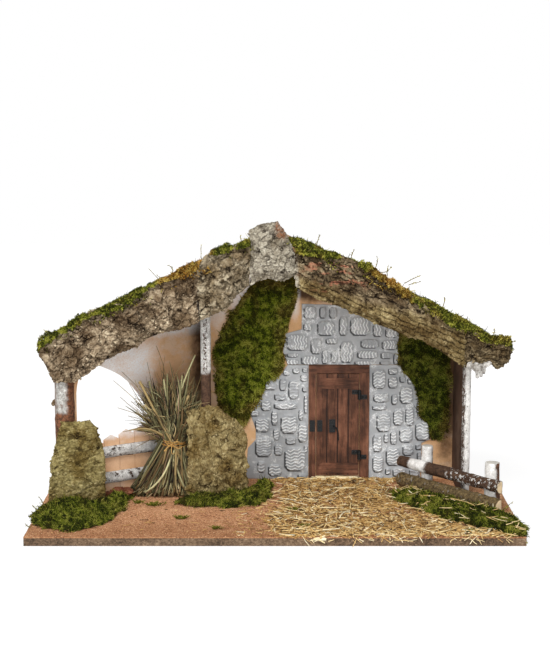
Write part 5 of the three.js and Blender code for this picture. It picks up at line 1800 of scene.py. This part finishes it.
# %% One flake
def flake(centre, size, tilt, seed):
    """A thin torn flake of bark, as a closed rough shell. Centre and size are in mm."""
    around, levels = 40, 12
    turns = np.linspace(0, 2 * math.pi, around, endpoint=False)
    climbs = np.linspace(0, math.pi, levels + 2)[1:-1, None]
    x, y = np.sin(climbs) * np.cos(turns), np.sin(climbs) * np.sin(turns)
    z = np.cos(climbs) + 0 * turns
    ball = np.concatenate([np.stack([x, y, z], -1).reshape(-1, 3), [(0, 0, 1), (0, 0, -1)]])
    square = ball / np.abs(ball).max(axis=1, keepdims=True) ** 0.5
    torn = 1 + 0.75 * rough(ball * 10 * MM, 6, seed, 4)
    points = square * np.array(size) / 2 * torn[:, None]
    points = points @ np.array(Euler(tilt).to_matrix()).T + drift(ball * 10 * MM, 5, seed) * 0.5
    ring = np.arange(levels * around).reshape(levels, around)
    after = np.roll(ring, -1, axis=1)
    walls = np.stack([ring[:-1], ring[1:], after[1:], after[:-1]], -1).reshape(-1, 4)
    top, bottom = levels * around, levels * around + 1
    caps = [(top, ring[0, k], after[0, k]) for k in range(around)]
    caps += [(bottom, after[-1, k], ring[-1, k]) for k in range(around)]
    return (points + np.array(centre)) * MM, np.concatenate([split(walls), np.array(caps)])


# %% Flakes with crumbs
def bark_bits(name, flakes, finish, count, reach, seed):
    """Flakes of bark with crumbs around them, within a reach in mm."""
    rng = np.random.default_rng(seed)
    parts = []
    for number, (centre, size, tilt) in enumerate(flakes):
        points, faces = flake(centre, size, tilt, seed + number)
        height = 0.5 + 0.5 * rough(points, 4, seed)
        parts.append((points, faces, {"height": height, "crack": 0 * height}))
        spots = (np.array(centre) + rng.normal(0, 1, (count, 3)) * np.array(reach)) * MM
        chip, chip_faces = crumbs(spots, rng.uniform(0.4, 1.2, count) * MM, rng)
        chip_height = np.repeat(rng.random(count) * 0.7, 6)
        parts.append((chip, chip_faces, {"height": chip_height, "crack": 0 * chip_height}))
    points, faces, painted = merged(*parts)
    piece(name, points, faces, finish, "cork_bark", smooth=False, **painted)


# %% Flakes at the eave, a chip and a stub
chalky = bark_finish("chalky_flake", ("3a3029", "8f8a84", "cfccc8", "f2f0ee"), "d8d2ca")
rusty = bark_finish("rusty_chip", ("2c1710", "6e4330", "8d5c45", "b58a70"), "b09080")
eave_flakes = [
    ((210, -6, 161), (13, 2, 9), (0.3, 0.5, 0.2)),
    ((215, -6, 154), (8, 2, 10), (0.1, -0.2, 0.3)),
    ((222, -5, 163), (10, 2, 7), (-0.3, -0.5, 0)),
    ((220, -4, 156), (5, 2, 5), (0.2, 0.6, 0)),
]
bark_bits("eave_flakes", eave_flakes, chalky, 9, (3, 1, 2.4), 301)
chip = ((-172, 24, 16), (30, 9, 8), (0.5, -0.12, 0.3))
bark_bits("rusty_chip", [chip], rusty, 40, (9, 3, 1.5), 303)
stub = ((-235.5, 13, 118), (5, 4, 7), (0, 0.5, 0))
bark_bits("post_stub", [stub], scaly, 6, (1, 1, 1.5), 305)

# %% Crumbs of moss on the sand
rng = np.random.default_rng(307)
tufts = [
    ((-128, -4), 7),
    ((-97, -57), 5),
    ((-60, -96), 3),
    ((30, -90), 4),
    ((196, -110), 5),
    ((-148, 6), 3),
    ((20, -26), 4),
]
ends = []
for (x, y), spread in tufts:
    for _ in range(6 * spread):
        dx, dy = rng.normal(0, spread / 2.2, 2)
        root_x, root_y = x + dx, y + dy / 2
        tip_x, tip_y = root_x + rng.normal(0, 3), root_y + rng.normal(0, 2)
        ends.append(((root_x, root_y, 10), (tip_x, tip_y, 12.5)))
sprigs("moss_crumbs", ends, ground_moss, 308, leaves=5, leaf=2.2, dry=0.15)

# %% Short dark stalks on the sand
few = 170
litter = rng.uniform((-240, -120, 10), (120, 20, 10.4), (few, 3)) * MM
heading = rng.uniform(0, 6.3, few)
length = rng.gamma(2, 2, few).clip(1, 12) * MM
paths = laid(litter, heading, length, 0 * litter[:, 0], rng)
stalks("sand_litter", paths, (0.2, 0.4), 1.2, rng.normal(0.25, 0.25, few), rng)
